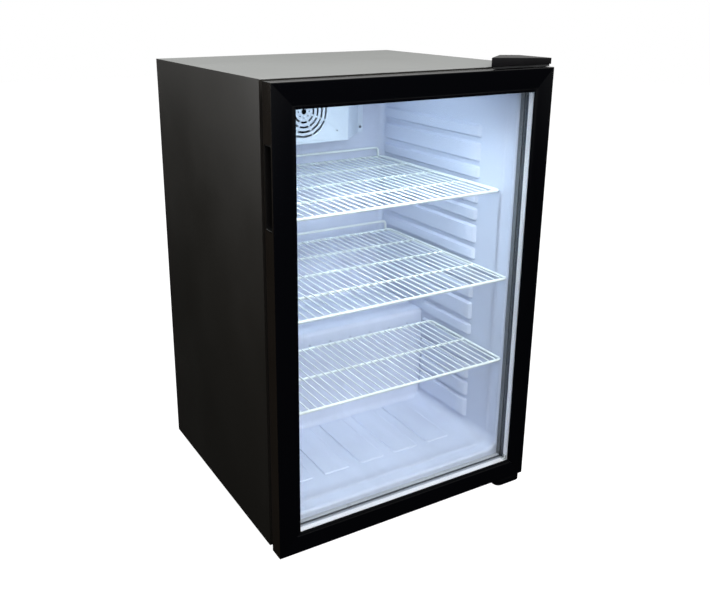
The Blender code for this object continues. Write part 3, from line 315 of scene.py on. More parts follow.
def arc(u, v, radius, start, end, steps):
    """Points of a flat arc round (u, v), both ends included, for angles in degrees."""
    turns = [math.radians(start + (end - start) * i / steps) for i in range(steps + 1)]
    return [(u + radius * math.cos(a), v + radius * math.sin(a)) for a in turns]


def rectangle(us, vs):
    return [(us[0], vs[0]), (us[1], vs[0]), (us[1], vs[1]), (us[0], vs[1])]


def rounded(us, vs, radius, steps=6):
    """A rectangle with round corners, anticlockwise from its lower right corner."""
    left, right = us[0] + radius, us[1] - radius
    base, top = vs[0] + radius, vs[1] - radius
    corners = ((right, base, -90), (right, top, 0), (left, top, 90), (left, base, 180))
    return [p for u, v, start in corners for p in arc(u, v, radius, start, start + 90, steps)]


def bridge(bm, loops, closed=True, material=0):
    """Quads between each loop of vertices and the next."""
    for first, second in zip(loops, loops[1:]):
        count = len(first)
        for i in range(count if closed else count - 1):
            j = (i + 1) % count
            face = bm.faces.new((first[i], second[i], second[j], first[j]))
            face.material_index = material


def new_loop(bm, points):
    return [bm.verts.new(p) for p in points]


def placed(axis, u, v, level):
    """The point (u, v) of the plane across an axis, at a level along that axis."""
    return {"x": (level, u, v), "y": (u, level, v), "z": (u, v, level)}[axis]


def slab(bm, outline, axis, low, high):
    """A flat outline drawn out along an axis into a closed solid."""
    loops = [
        new_loop(bm, [placed(axis, u, v, level) for u, v in outline]) for level in (low, high)
    ]
    bridge(bm, loops)
    bm.faces.new(loops[0])
    bm.faces.new(loops[1])


def wire(bm, points, radius, closed=False, sides=8):
    """A round wire swept along a path."""
    points = [Vector(p) for p in points]
    count = len(points)
    loops = []
    normal = None
    for i, point in enumerate(points):
        before = points[i - 1] if i or closed else None
        after = points[(i + 1) % count] if i < count - 1 or closed else None
        into = (point - before).normalized() if before is not None else None
        out = (after - point).normalized() if after is not None else None
        tangent = ((into or out) + (out or into)).normalized()
        if normal is None:
            helper = Vector((0, 0, 1)) if abs(tangent.z) < 0.9 else Vector((0, 1, 0))
            normal = (helper - tangent * helper.dot(tangent)).normalized()
        else:
            normal = (normal - tangent * normal.dot(tangent)).normalized()
        side = tangent.cross(normal)
        bend = 1.0
        if into is not None and out is not None:
            bend = 1.0 / max(0.5, into.dot(tangent))
        turn = (into or out).cross(out or into)
        away = tangent.cross(turn).normalized() if turn.length > 1e-6 else None
        loop = []
        for k in range(sides):
            a = 2 * math.pi * (k + 0.5) / sides
            offset = (normal * math.cos(a) + side * math.sin(a)) * radius
            if away is not None:
                offset += away * offset.dot(away) * (bend - 1.0)
            loop.append(bm.verts.new(point + offset))
        loops.append(loop)
    if closed:
        loops.append(loops[0])
    bridge(bm, loops)
    if not closed:
        bm.faces.new(loops[0])
        bm.faces.new(list(reversed(loops[-1])))


def turned(bm, centre, profile, axis, sides):
    """A profile of (radius, height) turned about an axis through a point, closed at both ends."""
    axis = Vector(axis).normalized()
    u = axis.orthogonal().normalized()
    v = axis.cross(u)
    loops = []
    for radius, height in profile:
        loop = []
        for k in range(sides):
            a = 2 * math.pi * k / sides
            offset = (u * math.cos(a) + v * math.sin(a)) * radius
            loop.append(bm.verts.new(Vector(centre) + axis * height + offset))
        loops.append(loop)
    bridge(bm, loops)
    bm.faces.new(loops[0])
    bm.faces.new(loops[-1])


def screw(bm, centre, axis, radius, height):
    """A pan-head screw with a round recess, its head on the surface at centre."""
    profile = [
        (radius * 0.55, -0.0004),
        (radius, 0.0),
        (radius, height * 0.35),
        (radius * 0.86, height * 0.78),
        (radius * 0.55, height),
        (radius * 0.30, height),
        (radius * 0.22, height * 0.45),
    ]
    turned(bm, centre, profile, axis, 20)


def bevelled(name, node, look, body, width, segments):
    """A piece made from a node's own shape, with its sharp edges softened."""
    bm = bmesh.new()
    bm.from_mesh(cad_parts[node].data)
    bmesh.ops.remove_doubles(bm, verts=bm.verts, dist=0.00001)
    bmesh.ops.dissolve_limit(
        bm, angle_limit=math.radians(1.0), verts=bm.verts, edges=bm.edges
    )
    edges = [
        e
        for e in bm.edges
        if len(e.link_faces) == 2 and e.calc_face_angle(0.0) > math.radians(30)
    ]
    bmesh.ops.bevel(
        bm,
        geom=edges,
        offset=width,
        offset_type="OFFSET",
        segments=segments,
        profile=0.5,
        affect="EDGES",
        clamp_overlap=True,
    )
    for face in bm.faces:
        face.material_index = 0
    return settle(name, bm, look, body, node)


# ---------------------------------------------------------------------------------------------
# Cabinet
# ---------------------------------------------------------------------------------------------


def clamped(value):
    """A value kept between 0 and 1."""
    return min(1.0, max(0.0, value))


def smooth_step(t):
    t = clamped(t)
    return t * t * (3 - 2 * t)


def depth_inside(u, v, us, vs, radius):
    """How far a point lies inside the edge of a rounded rectangle, below 0 when it is outside."""
    mid_u, mid_v = sum(us) / 2, sum(vs) / 2
    du = abs(u - mid_u) - (us[1] - us[0]) / 2 + radius
    dv = abs(v - mid_v) - (vs[1] - vs[0]) / 2 + radius
    return radius - math.hypot(max(du, 0), max(dv, 0)) - min(max(du, dv), 0)


def spread(breaks, gap):
    """Values between sorted breaks, no further apart than gap."""
    values = []
    for low, high in zip(breaks, breaks[1:]):
        count = max(1, math.ceil((high - low) / gap - 1e-6))
        values += [low + (high - low) * i / count for i in range(count)]
    return values + [breaks[-1]]


def edge_lines(edges, reach, low, high):
    """Breaks on both sides of each edge, kept between two limits and in order."""
    values = {round(low, 6), round(high, 6)}
    for edge in edges:
        for step in (0.0, 0.15, 0.75, 1.5, 2.25, 3.0, 3.3, 5.0):
            for value in (edge - step * reach, edge + step * reach):
                if low < value < high:
                    values.add(round(value, 6))
    return sorted(values)


def wall_relief(y, z):
    """How far the side wall stands in at a point: the raised shelf bands."""
    height = 0.0
    for low, high in RIBS:
        if low < z < high:
            back = RIB_BACK if low > HUMP_TOP else HUMP_FRONT - 0.006
            inside = depth_inside(y, z, (RIB_FRONT, back), (low, high), RIB_RADIUS)
            nose = (y - RIB_FRONT) / RIB_NOSE
            height = RIB_HEIGHT * clamped(min(inside / RIB_RAMP, nose))
    return height


def floor_relief(x, y):
    """How far the floor stands up at a point: the shallow pads, each in a fine groove."""
    for low, high in PADS:
        if low - GROOVE_W < x < high + GROOVE_W:
            inside = depth_inside(x, y, (low, high), (PAD_FRONT, PAD_BACK), PAD_RADIUS)
            groove = clamped(1 - abs(inside) / GROOVE_W)
            return PAD_HEIGHT * clamped(inside / PAD_RAMP) - GROOVE_DEPTH * groove
    return 0.0


def tub_outline(offset, z_lines, x_lines):
    """Points round the tub's section, with the kind of wall that each is on."""
    half = CAVITY_X + offset
    low, high = FLOOR - offset, CEILING + offset
    lower = arc(half - CORNER, low + CORNER, CORNER, -90, 0, 7)[1:-1]
    upper = arc(half - CORNER, high - CORNER, CORNER, 0, 90, 7)[1:-1]
    right = [(x, z, "corner") for x, z in lower]
    right += [(half, z, "right") for z in z_lines]
    right += [(x, z, "corner") for x, z in upper]
    mirror = {"right": "left", "corner": "corner"}
    left = [(-x, z, mirror[kind]) for x, z, kind in reversed(right)]
    floor = [(x, low, "floor") for x in x_lines]
    top = [(x, high, "top") for x in reversed(x_lines)]
    return floor + right + top + left


def tub_stations():
    """Depths of the tub's sections, each with how far the section flares out."""
    lip_end = BODY_FRONT + 0.006 + LIP_DEPTH
    stations = [(LINER_FRONT, LIP_FLARE), (lip_end, LIP_FLARE)]
    for t in (0.33, 0.66):
        stations.append((lip_end + LIP_EASE * t, LIP_FLARE * (1 - smooth_step(t))))
    y_edges = [RIB_FRONT, RIB_FRONT - 0.010, RIB_BACK, HUMP_FRONT - 0.007]
    y_breaks = edge_lines(y_edges, 0.0013, lip_end + 0.008, CAVITY_BACK - COVE)
    stations += [(y, 0.0) for y in spread(y_breaks, 0.03)]
    cove = arc(CAVITY_BACK - COVE, -COVE, COVE, 90, 0, 6)[1:]
    return stations + cove


def make_tub():
    """The inner tub: flared lip, coved corners, shelf bands, pads and a closed back."""
    z_edges = [v for band in RIBS for v in band]
    z_lines = spread(edge_lines(z_edges, 0.0012, FLOOR + CORNER, CEILING - CORNER), 0.012)
    x_edges = [v for pad in PADS for v in pad]
    x_limit = CAVITY_X - CORNER
    x_lines = spread(edge_lines(x_edges, 0.0010, -x_limit, x_limit), 0.02)
    mid_z, half_z = (FLOOR + CEILING) / 2, (CEILING - FLOOR) / 2
    outline = tub_outline(0.0, z_lines, x_lines)

    bm = bmesh.new()
    loops = []
    for y, flare in tub_stations():
        loop = []
        for x, z, kind in outline:
            out_x = x * (1 + flare / CAVITY_X)
            out_z = mid_z + (z - mid_z) * (1 + flare / half_z)
            if kind == "right":
                out_x -= wall_relief(y, z)
            elif kind == "left":
                out_x += wall_relief(y, z)
            elif kind == "floor":
                out_z += floor_relief(x, y)
            loop.append(bm.verts.new((out_x, y, out_z)))
        loops.append(loop)
    bridge(bm, loops)
    bm.faces.new(loops[-1])
    outline = tub_outline(LINER_T, z_lines, x_lines)
    back, front = (
        new_loop(bm, [(x, y, z) for x, z, kind in outline])
        for y in (CAVITY_BACK + LINER_T, LINER_FRONT)
    )
    bm.faces.new(list(reversed(back)))
    bridge(bm, [back, front, loops[0]])
    tub = settle("liner_tub", bm, "liner", "cabinet", "liner", smooth=50.0)
    open_machine_space(tub)


def open_machine_space(tub):
    """Takes away the corner of the tub that the step covers."""
    reach = 0.02
    ys = (HUMP_FRONT + LINER_T, CAVITY_BACK + reach)
    zs = (FLOOR - reach, HUMP_TOP - LINER_T)
    bm = bmesh.new()
    slab(bm, rectangle(ys, zs), "x", -CAVITY_X - reach, CAVITY_X + reach)
    cut(tub, bm, 50.0)


def make_step():
    """The step at the back of the tub over the machine compartment, with coved corners."""
    inside, back = CAVITY_X - 0.0006, CAVITY_BACK - 0.0006
    base = FLOOR + 0.0002
    nose = (HUMP_FRONT + STEP_NOSE, HUMP_TOP - STEP_NOSE)
    profile = [(HUMP_FRONT - STEP_FOOT, base)]
    profile += arc(HUMP_FRONT - STEP_FOOT, FLOOR + STEP_FOOT, STEP_FOOT, -90, 0, 6)
    # The rows on the flat faces keep smooth shading off them
    profile += [(HUMP_FRONT, 0.11), (HUMP_FRONT, 0.21)]
    profile += arc(*nose, STEP_NOSE, 180, 90, 6)
    profile += [(HUMP_FRONT + 0.06, HUMP_TOP)]
    profile += arc(back - STEP_HEEL, HUMP_TOP + STEP_HEEL, STEP_HEEL, -90, 0, 5)
    profile += [(back, HUMP_TOP - LINER_T)]
    profile += arc(*nose, STEP_NOSE - LINER_T, 90, 180, 6)
    profile += [(HUMP_FRONT + LINER_T, base)]
    bm = bmesh.new()
    xs = spread([-inside, -inside + 0.004, -0.16, 0.16, inside - 0.004, inside], 0.04)
    loops = [new_loop(bm, [(x, y, z) for y, z in profile]) for x in xs]
    bridge(bm, loops)
    bm.faces.new(loops[0])
    bm.faces.new(list(reversed(loops[-1])))
    settle("liner_step", bm, "liner", "cabinet", None)


PLUG_PITCH = 0.0455
PLUG_Z = 0.2335
PLUG = [(0.0026, 0.0), (0.0022, 0.0006), (0.0010, 0.0008)]
DRAIN_PITCH = 0.0270
DRAIN_LENGTH = 0.020


def make_step_details():
    """A row of plugs across the step's front, and thin dark slabs on its top that paint the shade
    of its drain slots.
    """
    bm = bmesh.new()
    for i in range(-4, 5):
        centre = (i * PLUG_PITCH + 0.006, HUMP_FRONT + 0.0004, PLUG_Z)
        turned(bm, centre, PLUG, (0, -1, 0), 16)
    settle("step_plugs", bm, "plug", "cabinet")
    bm = bmesh.new()
    # The drain slots are not cut: each is a thin dark slab, painted shade where an open slot would
    # be
    ys = (HUMP_FRONT + 0.062, HUMP_FRONT + 0.0675)
    low = HUMP_TOP + 0.0002
    for i in range(7):
        start = -0.205 + i * DRAIN_PITCH
        slot = rounded((start, start + DRAIN_LENGTH), ys, (ys[1] - ys[0]) / 2 - 0.0002, 4)
        slab(bm, slot, "z", low, low + 0.0004)
    settle("step_drain_slot_painted_shade", bm, "gasket_base", "cabinet")


def make_foam():
    """The insulation, eased under the rounded edge of the step."""
    bm = bmesh.new()
    bm.from_mesh(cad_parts["insulation_foam"].data)
    foam = settle("foam_block", bm, "foam", "cabinet", "insulation_foam", smooth=0)
    bm = bmesh.new()
    front, top, reach = HUMP_FRONT - 0.004, HUMP_TOP + 0.004, 0.016
    slab(bm, [(front, top), (front + reach, top), (front, top - reach)], "x", -0.235, 0.235)
    cut(foam, bm)


RIM_FLANGE = 0.0150
RIM_ROLL = 0.0045
RIM_DEPTH = 0.0058


def make_rim():
    """The moulded frame round the opening, rolled over at its inner edge."""
    low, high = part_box("front_trim")
    front, back = low.y, high.y

    def opening(y, offset, radius):
        us = (-CAVITY_X - offset, CAVITY_X + offset)
        vs = (FLOOR - offset, CEILING + offset)
        return new_loop(bm, [(x, y, z) for x, z in rounded(us, vs, radius, 8)])

    bm = bmesh.new()
    outer = rounded((-high.x, high.x), (low.z, high.z), 0.0005, 8)
    loops = [new_loop(bm, [(x, y, z) for x, z in outer]) for y in (back, front)]
    loops.append(opening(front, RIM_FLANGE, 0.004))
    for cosine, sine in arc(0.0, 0.0, 1.0, 0, 90, 7):
        flare = LIP_FLARE + RIM_ROLL * (1 - sine)
        loops.append(opening(front + RIM_DEPTH * (1 - cosine), flare, CORNER + flare * 0.8))
    loops.append(opening(back, LIP_FLARE, CORNER))
    loops.append(loops[0])
    bridge(bm, loops[:3], material=1)
    bridge(bm, loops[2:])
    looks = ["liner", "side"]
    settle("opening_frame", bm, looks, "cabinet", "front_trim", smooth=50.0)


def make_shell():
    """Side panels, the lid, the back and the slotted rear cover."""
    for name in ("side_panel_left", "side_panel_right"):
        bevelled(name + "_skin", name, "side", "cabinet", 0.0004, 2)
    for node, look, slot in (
        ("top_panel", "top", "top_enamel"),
        ("back_panel", "zinc", "zinc_steel"),
        ("base_pan", "zinc", "zinc_steel"),
        ("rear_cover", "side", "side_enamel"),
    ):
        skin = bevelled(node + "_skin", node, look, "cabinet", 0.00035, 1)
        if node == "rear_cover":
            skin.data.shade_flat()


NODE_LOOKS = {
    "zinc": ["compartment_divider", "condenser_fan_bracket", "top_hinge_bracket"],
    "rubber": [
        "compressor_mount_front_left",
        "compressor_mount_front_right",
        "compressor_mount_rear_left",
        "compressor_mount_rear_right",
    ],
    "aluminium": ["evaporator_coil", "condenser_coil"],
    "black": [
        "evaporator_fan_motor",
        "evaporator_fan_blade",
        "compressor_relay_box",
        "condenser_fan_motor",
        "condenser_fan_blade",
        "drain_tray",
    ],
    "white": ["thermostat_body", "light_housing", "door_bush_top", "door_bush_bottom"],
    "paint": ["compressor"],
    "copper": ["filter_drier", "discharge_pipe", "liquid_pipe"],
    "screw": ["top_hinge_pin", "bottom_hinge_pin"],
    "lamp": ["light_lens"],
    "outer_glass": ["outer_glass"],
    "inner_glass": ["inner_glass"],
}


def dress_nodes():
    """Gives each CAD node that stays its own detailed material."""
    for look, names in NODE_LOOKS.items():
        for name in names:
            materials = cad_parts[name].data.materials
            materials.clear()
            materials.append(LOOKS[look])


def make_fan_cover():
    """The evaporator housing with its slotted grille, four screws and a locating peg."""
    bevelled("fan_cover_shell", "fan_cover", "white", "cabinet", 0.0009, 2)
    low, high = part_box("fan_cover")
    bm = bmesh.new()
    for x in (-0.165, 0.165):
        for z in (low.z + 0.012, high.z - 0.014):
            screw(bm, (x, high.y - 0.0015, z), (0, -1, 0), 0.0030, 0.0018)
    settle("fan_cover_screws", bm, "screw", "cabinet")
    bm = bmesh.new()
    knob_low, knob_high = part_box("thermostat_knob")
    knob = (knob_low + knob_high) / 2
    peg = [(0.0016, 0.0), (0.0016, 0.0003), (0.0008, 0.0004)]
    turned(bm, (-knob.x, low.y + 0.0002, knob.z), peg, (0, -1, 0), 14)
    settle("fan_cover_peg", bm, "gasket", "cabinet")


FLUTES = 18
FLUTE_DEPTH = 0.00035


def make_knob():
    """The thermostat knob: spindle, skirt, fluted grip and a pointer line."""
    low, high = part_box("thermostat_knob")
    centre = (low + high) / 2
    back = low.y + 0.011
    profile = (
        (0.0030, high.y, False),
        (0.0030, back, False),
        (0.0128, back, False),
        (0.0130, back - 0.0008, False),
        (0.0130, back - 0.0034, False),
        (0.0119, back - 0.0042, True),
        (0.0114, back - 0.0098, True),
        (0.0106, back - 0.0108, True),
    )
    bm = bmesh.new()
    loops = []
    for radius, y, fluted in profile:
        loop = []
        for k in range(72):
            a = 2 * math.pi * k / 72
            r = radius + (FLUTE_DEPTH * (math.cos(FLUTES * a) - 1) if fluted else 0.0)
            place = (centre.x + r * math.cos(a), y, centre.z + r * math.sin(a))
            loop.append(bm.verts.new(place))
        loops.append(loop)
    bridge(bm, loops)
    bm.faces.new(loops[0])
    bm.faces.new(list(reversed(loops[-1])))
    settle("thermostat_dial", bm, "white", "knob", "thermostat_knob")
    bm = bmesh.new()
    xs = (centre.x - 0.0006, centre.x + 0.0006)
    zs = (centre.z + 0.0030, centre.z + 0.0095)
    slab(bm, rounded(xs, zs, 0.0005, 3), "y", low.y + 0.00005, low.y + 0.0004)
    settle("thermostat_pointer", bm, "gasket_base", "knob")


INLET_PINS = ((-0.0065, -0.0020), (0.0, 0.0028), (0.0065, -0.0020))


def make_rear_details():
    """Screws of the rear cover, the light switch, and the inlet with its pins."""
    low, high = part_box("rear_cover")
    bm = bmesh.new()
    for x in (-0.232, -0.08, 0.04, 0.232):
        for z in (low.z + 0.008, high.z - 0.008):
            screw(bm, (x, high.y, z), (0, 1, 0), 0.0034, 0.0020)
    settle("rear_cover_screws", bm, "screw", "cabinet")
    bevelled("switch_frame", "light_switch_body", "black", "cabinet", 0.0004, 2)
    bevelled("switch_rocker", "light_switch_rocker", "gloss", "rocker", 0.0004, 2)
    bevelled("inlet_frame", "power_inlet", "black", "cabinet", 0.0005, 2)
    low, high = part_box("power_inlet")
    middle = (low + high) / 2
    bm = bmesh.new()
    for dx, dz in INLET_PINS:
        x, z = middle.x + dx, middle.z + dz
        pin = rounded((x - 0.0010, x + 0.0010), (z - 0.0024, z + 0.0024), 0.0006, 3)
        slab(bm, pin, "y", BODY_BACK - 0.0139, BODY_BACK - 0.0030)
    settle("inlet_pins", bm, "screw", "cabinet")


def make_feet():
    """Turned rubber feet with a grooved rim."""
    for name in ("front_left", "front_right", "rear_left", "rear_right"):
        low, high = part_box("foot_" + name)
        profile = [
            (0.0135, 0.0),
            (0.0152, 0.0004),
            (0.0163, 0.0020),
            (0.0168, 0.0060),
            (0.0164, 0.0066),
            (0.0164, 0.0078),
            (0.0170, 0.0084),
            (0.0186, high.z - 0.0012),
            (0.0182, high.z),
        ]
        bm = bmesh.new()
        turned(bm, ((low.x + high.x) / 2, (low.y + high.y) / 2, 0.0), profile, (0, 0, 1), 40)
        settle("rubber_foot_" + name, bm, "rubber", "cabinet", "foot_" + name)


# ---------------------------------------------------------------------------------------------
# Door
# ---------------------------------------------------------------------------------------------


DOOR_T = DOOR_BACK - DOOR_FRONT


FRONT_RADIUS = 0.0016
BACK_RADIUS = 0.0012
MITRE_GAP = 0.00012
MITRE_EASE = 0.0006
MITRE_SINK = 0.00018


def door_section():
    """Closed outline of a rail: how far in from the door's edge, and how far back."""
    front = arc(FRONT_RADIUS, FRONT_RADIUS, FRONT_RADIUS, 180, 270, 4)
    inner = [
        (RAIL_W - 0.0064, 0.0),
        (RAIL_W - 0.0060, 0.0005),
        (RAIL_W - 0.0050, 0.0005),
        (RAIL_W - 0.0046, 0.0001),
        (RAIL_W - 0.0012, 0.0003),
        (RAIL_W - 0.0003, 0.0009),
        (RAIL_W, 0.0016),
        (RAIL_W, 0.0020),
        (0.0207, 0.0020),
        (0.0207, 0.0232),
        (0.0281, 0.0232),
        (0.0285, 0.0236),
        (0.0285, DOOR_T - 0.0006),
        (0.0279, DOOR_T),
    ]
    back = arc(BACK_RADIUS, DOOR_T - BACK_RADIUS, BACK_RADIUS, 90, 180, 3)
    return front + inner + back


def rail_place(side, w, t, along):
    y = DOOR_FRONT + t
    return {
        "top": (along, y, DOOR_TOP - w),
        "bottom": (along, y, DOOR_BASE + w),
        "left": (-DOOR_X + w, y, along),
        "right": (DOOR_X - w, y, along),
    }[side]


def shade_rail(bm, side):
    """Sets the inner lip and the outer side of a rail off from its glossy front."""
    for face in bm.faces:
        centre = face.calc_center_median()
        w = min(DOOR_X - abs(centre.x), centre.z - DOOR_BASE, DOOR_TOP - centre.z)
        if centre.y > DOOR_FRONT + 0.0225 and w > 0.0283:
            face.material_index = 1
        elif side in ("left", "right") and w < 0.0001:
            face.material_index = 2


def make_rails():
    """Four mitred rails with softened edges and a bead line round the window."""
    section = door_section()
    nodes = {
        "top": "door_top_rail",
        "bottom": "door_bottom_rail",
        "left": "door_left_stile",
        "right": "door_right_stile",
    }
    for side, node in nodes.items():
        low, high = (-DOOR_X, DOOR_X) if side in ("top", "bottom") else (DOOR_BASE, DOOR_TOP)
        ends = [(MITRE_GAP, MITRE_SINK), (MITRE_GAP + MITRE_EASE, 0.0)]
        stations = [(low, 1, *end) for end in ends]
        stations += [(high, -1, *end) for end in reversed(ends)]
        bm = bmesh.new()
        loops = []
        for end, sign, gap, sink in stations:
            loop = []
            for w, t in section:
                depth = t + sink if t < 0.002 else t
                loop.append(bm.verts.new(rail_place(side, w, depth, end + sign * (w + gap))))
            loops.append(loop)
        bridge(bm, loops)
        shade_rail(bm, side)
        for loop in (loops[0], loops[-1]):
            bm.faces.new(loop)
        # The bottom rail's inner lip faces up and gets the painted light grey; the other rails get
        # the painted shade
        looks = ["gloss", "lit_sill" if side == "bottom" else "shaded_lip", "edge"]
        piece = settle(node + "_profile", bm, looks, "door", node)
        if side == "left":
            cut_pocket(piece)


def cut(piece, bm, smooth=None):
    """Takes a solid, given as a bmesh, away from a piece."""
    bmesh.ops.recalc_face_normals(bm, faces=bm.faces)
    mesh = bpy.data.meshes.new("cutting_tool")
    bm.to_mesh(mesh)
    bm.free()
    tool = bpy.data.objects.new("cutting_tool", mesh)
    bpy.context.scene.collection.objects.link(tool)
    modifier = piece.modifiers.new("cut", "BOOLEAN")
    modifier.operation = "DIFFERENCE"
    modifier.solver = "EXACT"
    modifier.object = tool
    bpy.context.view_layer.update()
    shape = bpy.data.meshes.new_from_object(
        piece.evaluated_get(bpy.context.evaluated_depsgraph_get())
    )
    piece.modifiers.clear()
    piece.data = shape
    if smooth:
        shape.set_sharp_from_angle(angle=math.radians(smooth))
    bpy.data.objects.remove(tool)


def cut_pocket(stile):
    """Opens the stile for the finger pocket."""
    low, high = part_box("handle_cup")
    gap = 0.0002
    ys, zs = (low.y - gap, high.y + gap), (low.z - gap, high.z + gap)
    bm = bmesh.new()
    slab(bm, rounded(ys, zs, 0.0030, 5), "x", low.x - 0.01, high.x + gap)
    cut(stile, bm)


def make_cup():
    """The finger pocket: a rounded dish with a rolled lip and an eased bottom."""
    low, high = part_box("handle_cup")
    # Depth from the door's side, inset from the pocket's box, corner radius
    rows = (
        (0.0165, 0.0002, 0.0030),
        (0.0006, 0.0002, 0.0030),
        (0.0001, 0.0006, 0.0028),
        (0.0001, 0.0011, 0.0026),
        (0.0006, 0.0017, 0.0024),
        (0.0100, 0.0022, 0.0024),
        (0.0135, 0.0030, 0.0028),
        (0.0149, 0.0048, 0.0030),
    )
    bm = bmesh.new()
    loops = []
    for depth, inset, radius in rows:
        ys, zs = (low.y + inset, high.y - inset), (low.z + inset, high.z - inset)
        outline = rounded(ys, zs, radius, 5)
        loops.append(new_loop(bm, [(low.x + depth, y, z) for y, z in outline]))
    bridge(bm, loops)
    bm.faces.new(loops[0])
    bm.faces.new(loops[-1])
    settle("handle_pocket", bm, "cup", "door", "handle_cup", smooth=40.0)


def door_ring(bm, rows, steps=4, material=None):
    """A closed ring round the door: rows of (from the outer edge, y, corner radius)."""
    loops = []
    for w, y, radius in rows:
        us = (-DOOR_X + w, DOOR_X - w)
        outline = rounded(us, (DOOR_BASE + w, DOOR_TOP - w), max(radius, 0.0003), steps)
        loops.append(new_loop(bm, [(x, y, z) for x, z in outline]))
    loops.append(loops[0])
    for k, pair in enumerate(zip(loops, loops[1:])):
        bridge(bm, pair, material=material[k] if material else 0)


SPACER_W = 0.0118
KEY_LONG = (0.0003, 0.0070)
KEY_THIN = (0.0002, 0.0007)
KEY_WIDTH = 0.0024


def make_spacer():
    """The spacer bar between the panes, with a seam, and the keys in its corners."""
    low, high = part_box("glass_spacer")
    outer = DOOR_X - high.x
    inner = outer + SPACER_W
    mid = (low.y + high.y) / 2
    rows = [
        (outer, low.y, 0.0005),
        (inner - 0.0012, low.y, 0.0005),
        (inner - 0.0002, low.y + 0.0009, 0.0004),
        (inner, low.y + 0.0014, 0.0004),
        (inner, mid - 0.0007, 0.0004),
        (inner - 0.0005, mid - 0.0004, 0.0004),
        (inner - 0.0005, mid + 0.0004, 0.0004),
        (inner, mid + 0.0007, 0.0004),
        (inner, high.y - 0.0014, 0.0004),
        (inner - 0.0002, high.y - 0.0009, 0.0004),
        (inner - 0.0012, high.y, 0.0005),
        (outer, high.y, 0.0005),
    ]
    bm = bmesh.new()
    door_ring(bm, rows, 1)
    settle("spacer_bar", bm, "spacer", "door", "glass_spacer")
    bm = bmesh.new()
    for sx in (-1, 1):
        for sz, corner_z in ((1, DOOR_BASE + inner), (-1, DOOR_TOP - inner)):
            for reach_x, reach_z in ((KEY_LONG, KEY_THIN), (KEY_THIN, KEY_LONG)):
                xs = sorted(sx * (DOOR_X - inner - reach) for reach in reach_x)
                zs = sorted(corner_z + sz * reach for reach in reach_z)
                for y in (low.y + 0.0022, high.y - 0.0046):
                    slab(bm, rounded(xs, zs, 0.0002, 2), "y", y, y + KEY_WIDTH)
    settle("spacer_corner_keys", bm, "key", "door")


def make_gasket():
    """The folded magnetic gasket: a base and a neck in painted shade, a paler bulb, and a bottom
    run in painted light.
    """
    low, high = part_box("door_gasket")
    front, back = low.y, high.y
    # In from the door's edge, y, corner radius, material of the strip to the next row
    rows = [
        (0.0125, front, 0.003, 1),
        (0.0255, front, 0.003, 1),
        (0.0258, front + 0.0008, 0.003, 1),
        (0.0252, front + 0.0052, 0.003, 1),
        (0.0238, front + 0.0062, 0.003, 1),
        (0.0238, front + 0.0068, 0.003, 1),
        (0.0256, front + 0.0076, 0.003, 0),
        (0.0260, front + 0.0092, 0.003, 0),
        (0.0260, back - 0.0022, 0.003, 0),
        (0.0256, back - 0.0008, 0.003, 0),
        (0.0246, back, 0.003, 0),
        (0.0140, back, 0.005, 0),
        (0.0126, back - 0.0010, 0.005, 0),
        (0.0122, back - 0.0030, 0.005, 0),
        (0.0142, front + 0.0080, 0.005, 1),
        (0.0142, front + 0.0060, 0.005, 1),
        (0.0122, front + 0.0036, 0.004, 1),
    ]
    bm = bmesh.new()
    door_ring(bm, [row[:3] for row in rows], 4, [row[3] for row in rows])
    # Along the bottom the bulb faces up and is painted a light grey: painted light
    for face in bm.faces:
        if face.calc_center_median().z < DOOR_BASE + 0.027 and face.material_index == 0:
            face.material_index = 2
    looks = ["gasket", "gasket_base", "lit_sill"]
    settle("magnetic_gasket", bm, looks, "door", "door_gasket")


# ---------------------------------------------------------------------------------------------
# Hinges
# ---------------------------------------------------------------------------------------------


# Places of the screws: x, and how far back from the body's front
CAP_SCREWS = ((0.2225, 0.0255), (0.2090, 0.0235))
UPPER_SCREWS = ((0.236, 0.023), (0.218, 0.023), (0.214, 0.008))
LOWER_SCREWS = ((0.207, 0.018), (0.237, 0.018))
CAP_PLUG = [(0.0034, 0.0), (0.0034, 0.00125), (0.0030, 0.00135), (0.0022, 0.0013), (0.0018, 0.0004)]
CAP_FALL = 0.0045


def make_hinges():
    """The cap over the top hinge, the lower bracket and the screws of both."""
    bevelled("hinge_cap", "top_hinge_cover", "cover", "cabinet", 0.0013, 3)
    lower = "bottom_hinge_bracket"
    bevelled("lower_hinge", lower, "gloss", "cabinet", 0.0009, 2)
    low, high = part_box("top_hinge_cover")
    bm = bmesh.new()
    for x, dy in CAP_SCREWS:
        fall = CAP_FALL * (x - low.x) / (high.x - low.x)
        turned(bm, (x, BODY_FRONT + dy, high.z - 0.0011 - fall), CAP_PLUG, (0, 0, 1), 20)
    settle("hinge_cap_screws", bm, "rubber", "cabinet")
    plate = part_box("top_hinge_bracket")[1].z
    bm = bmesh.new()
    for x, dy in UPPER_SCREWS:
        screw(bm, (x, BODY_FRONT + dy, plate), (0, 0, 1), 0.0034, 0.0022)
    for x, dy in LOWER_SCREWS:
        screw(bm, (x, BODY_FRONT + dy, BODY_BASE - 0.0033), (0, 0, -1), 0.0034, 0.0022)
    settle("hinge_screws", bm, "screw", "cabinet")


# ---------------------------------------------------------------------------------------------
# Shelves
# ---------------------------------------------------------------------------------------------

FRAME_WIRE = 0.0025
THIN_WIRE = 0.0012
WIRE_COUNT = 30
SHELF_CORNER = 0.0075


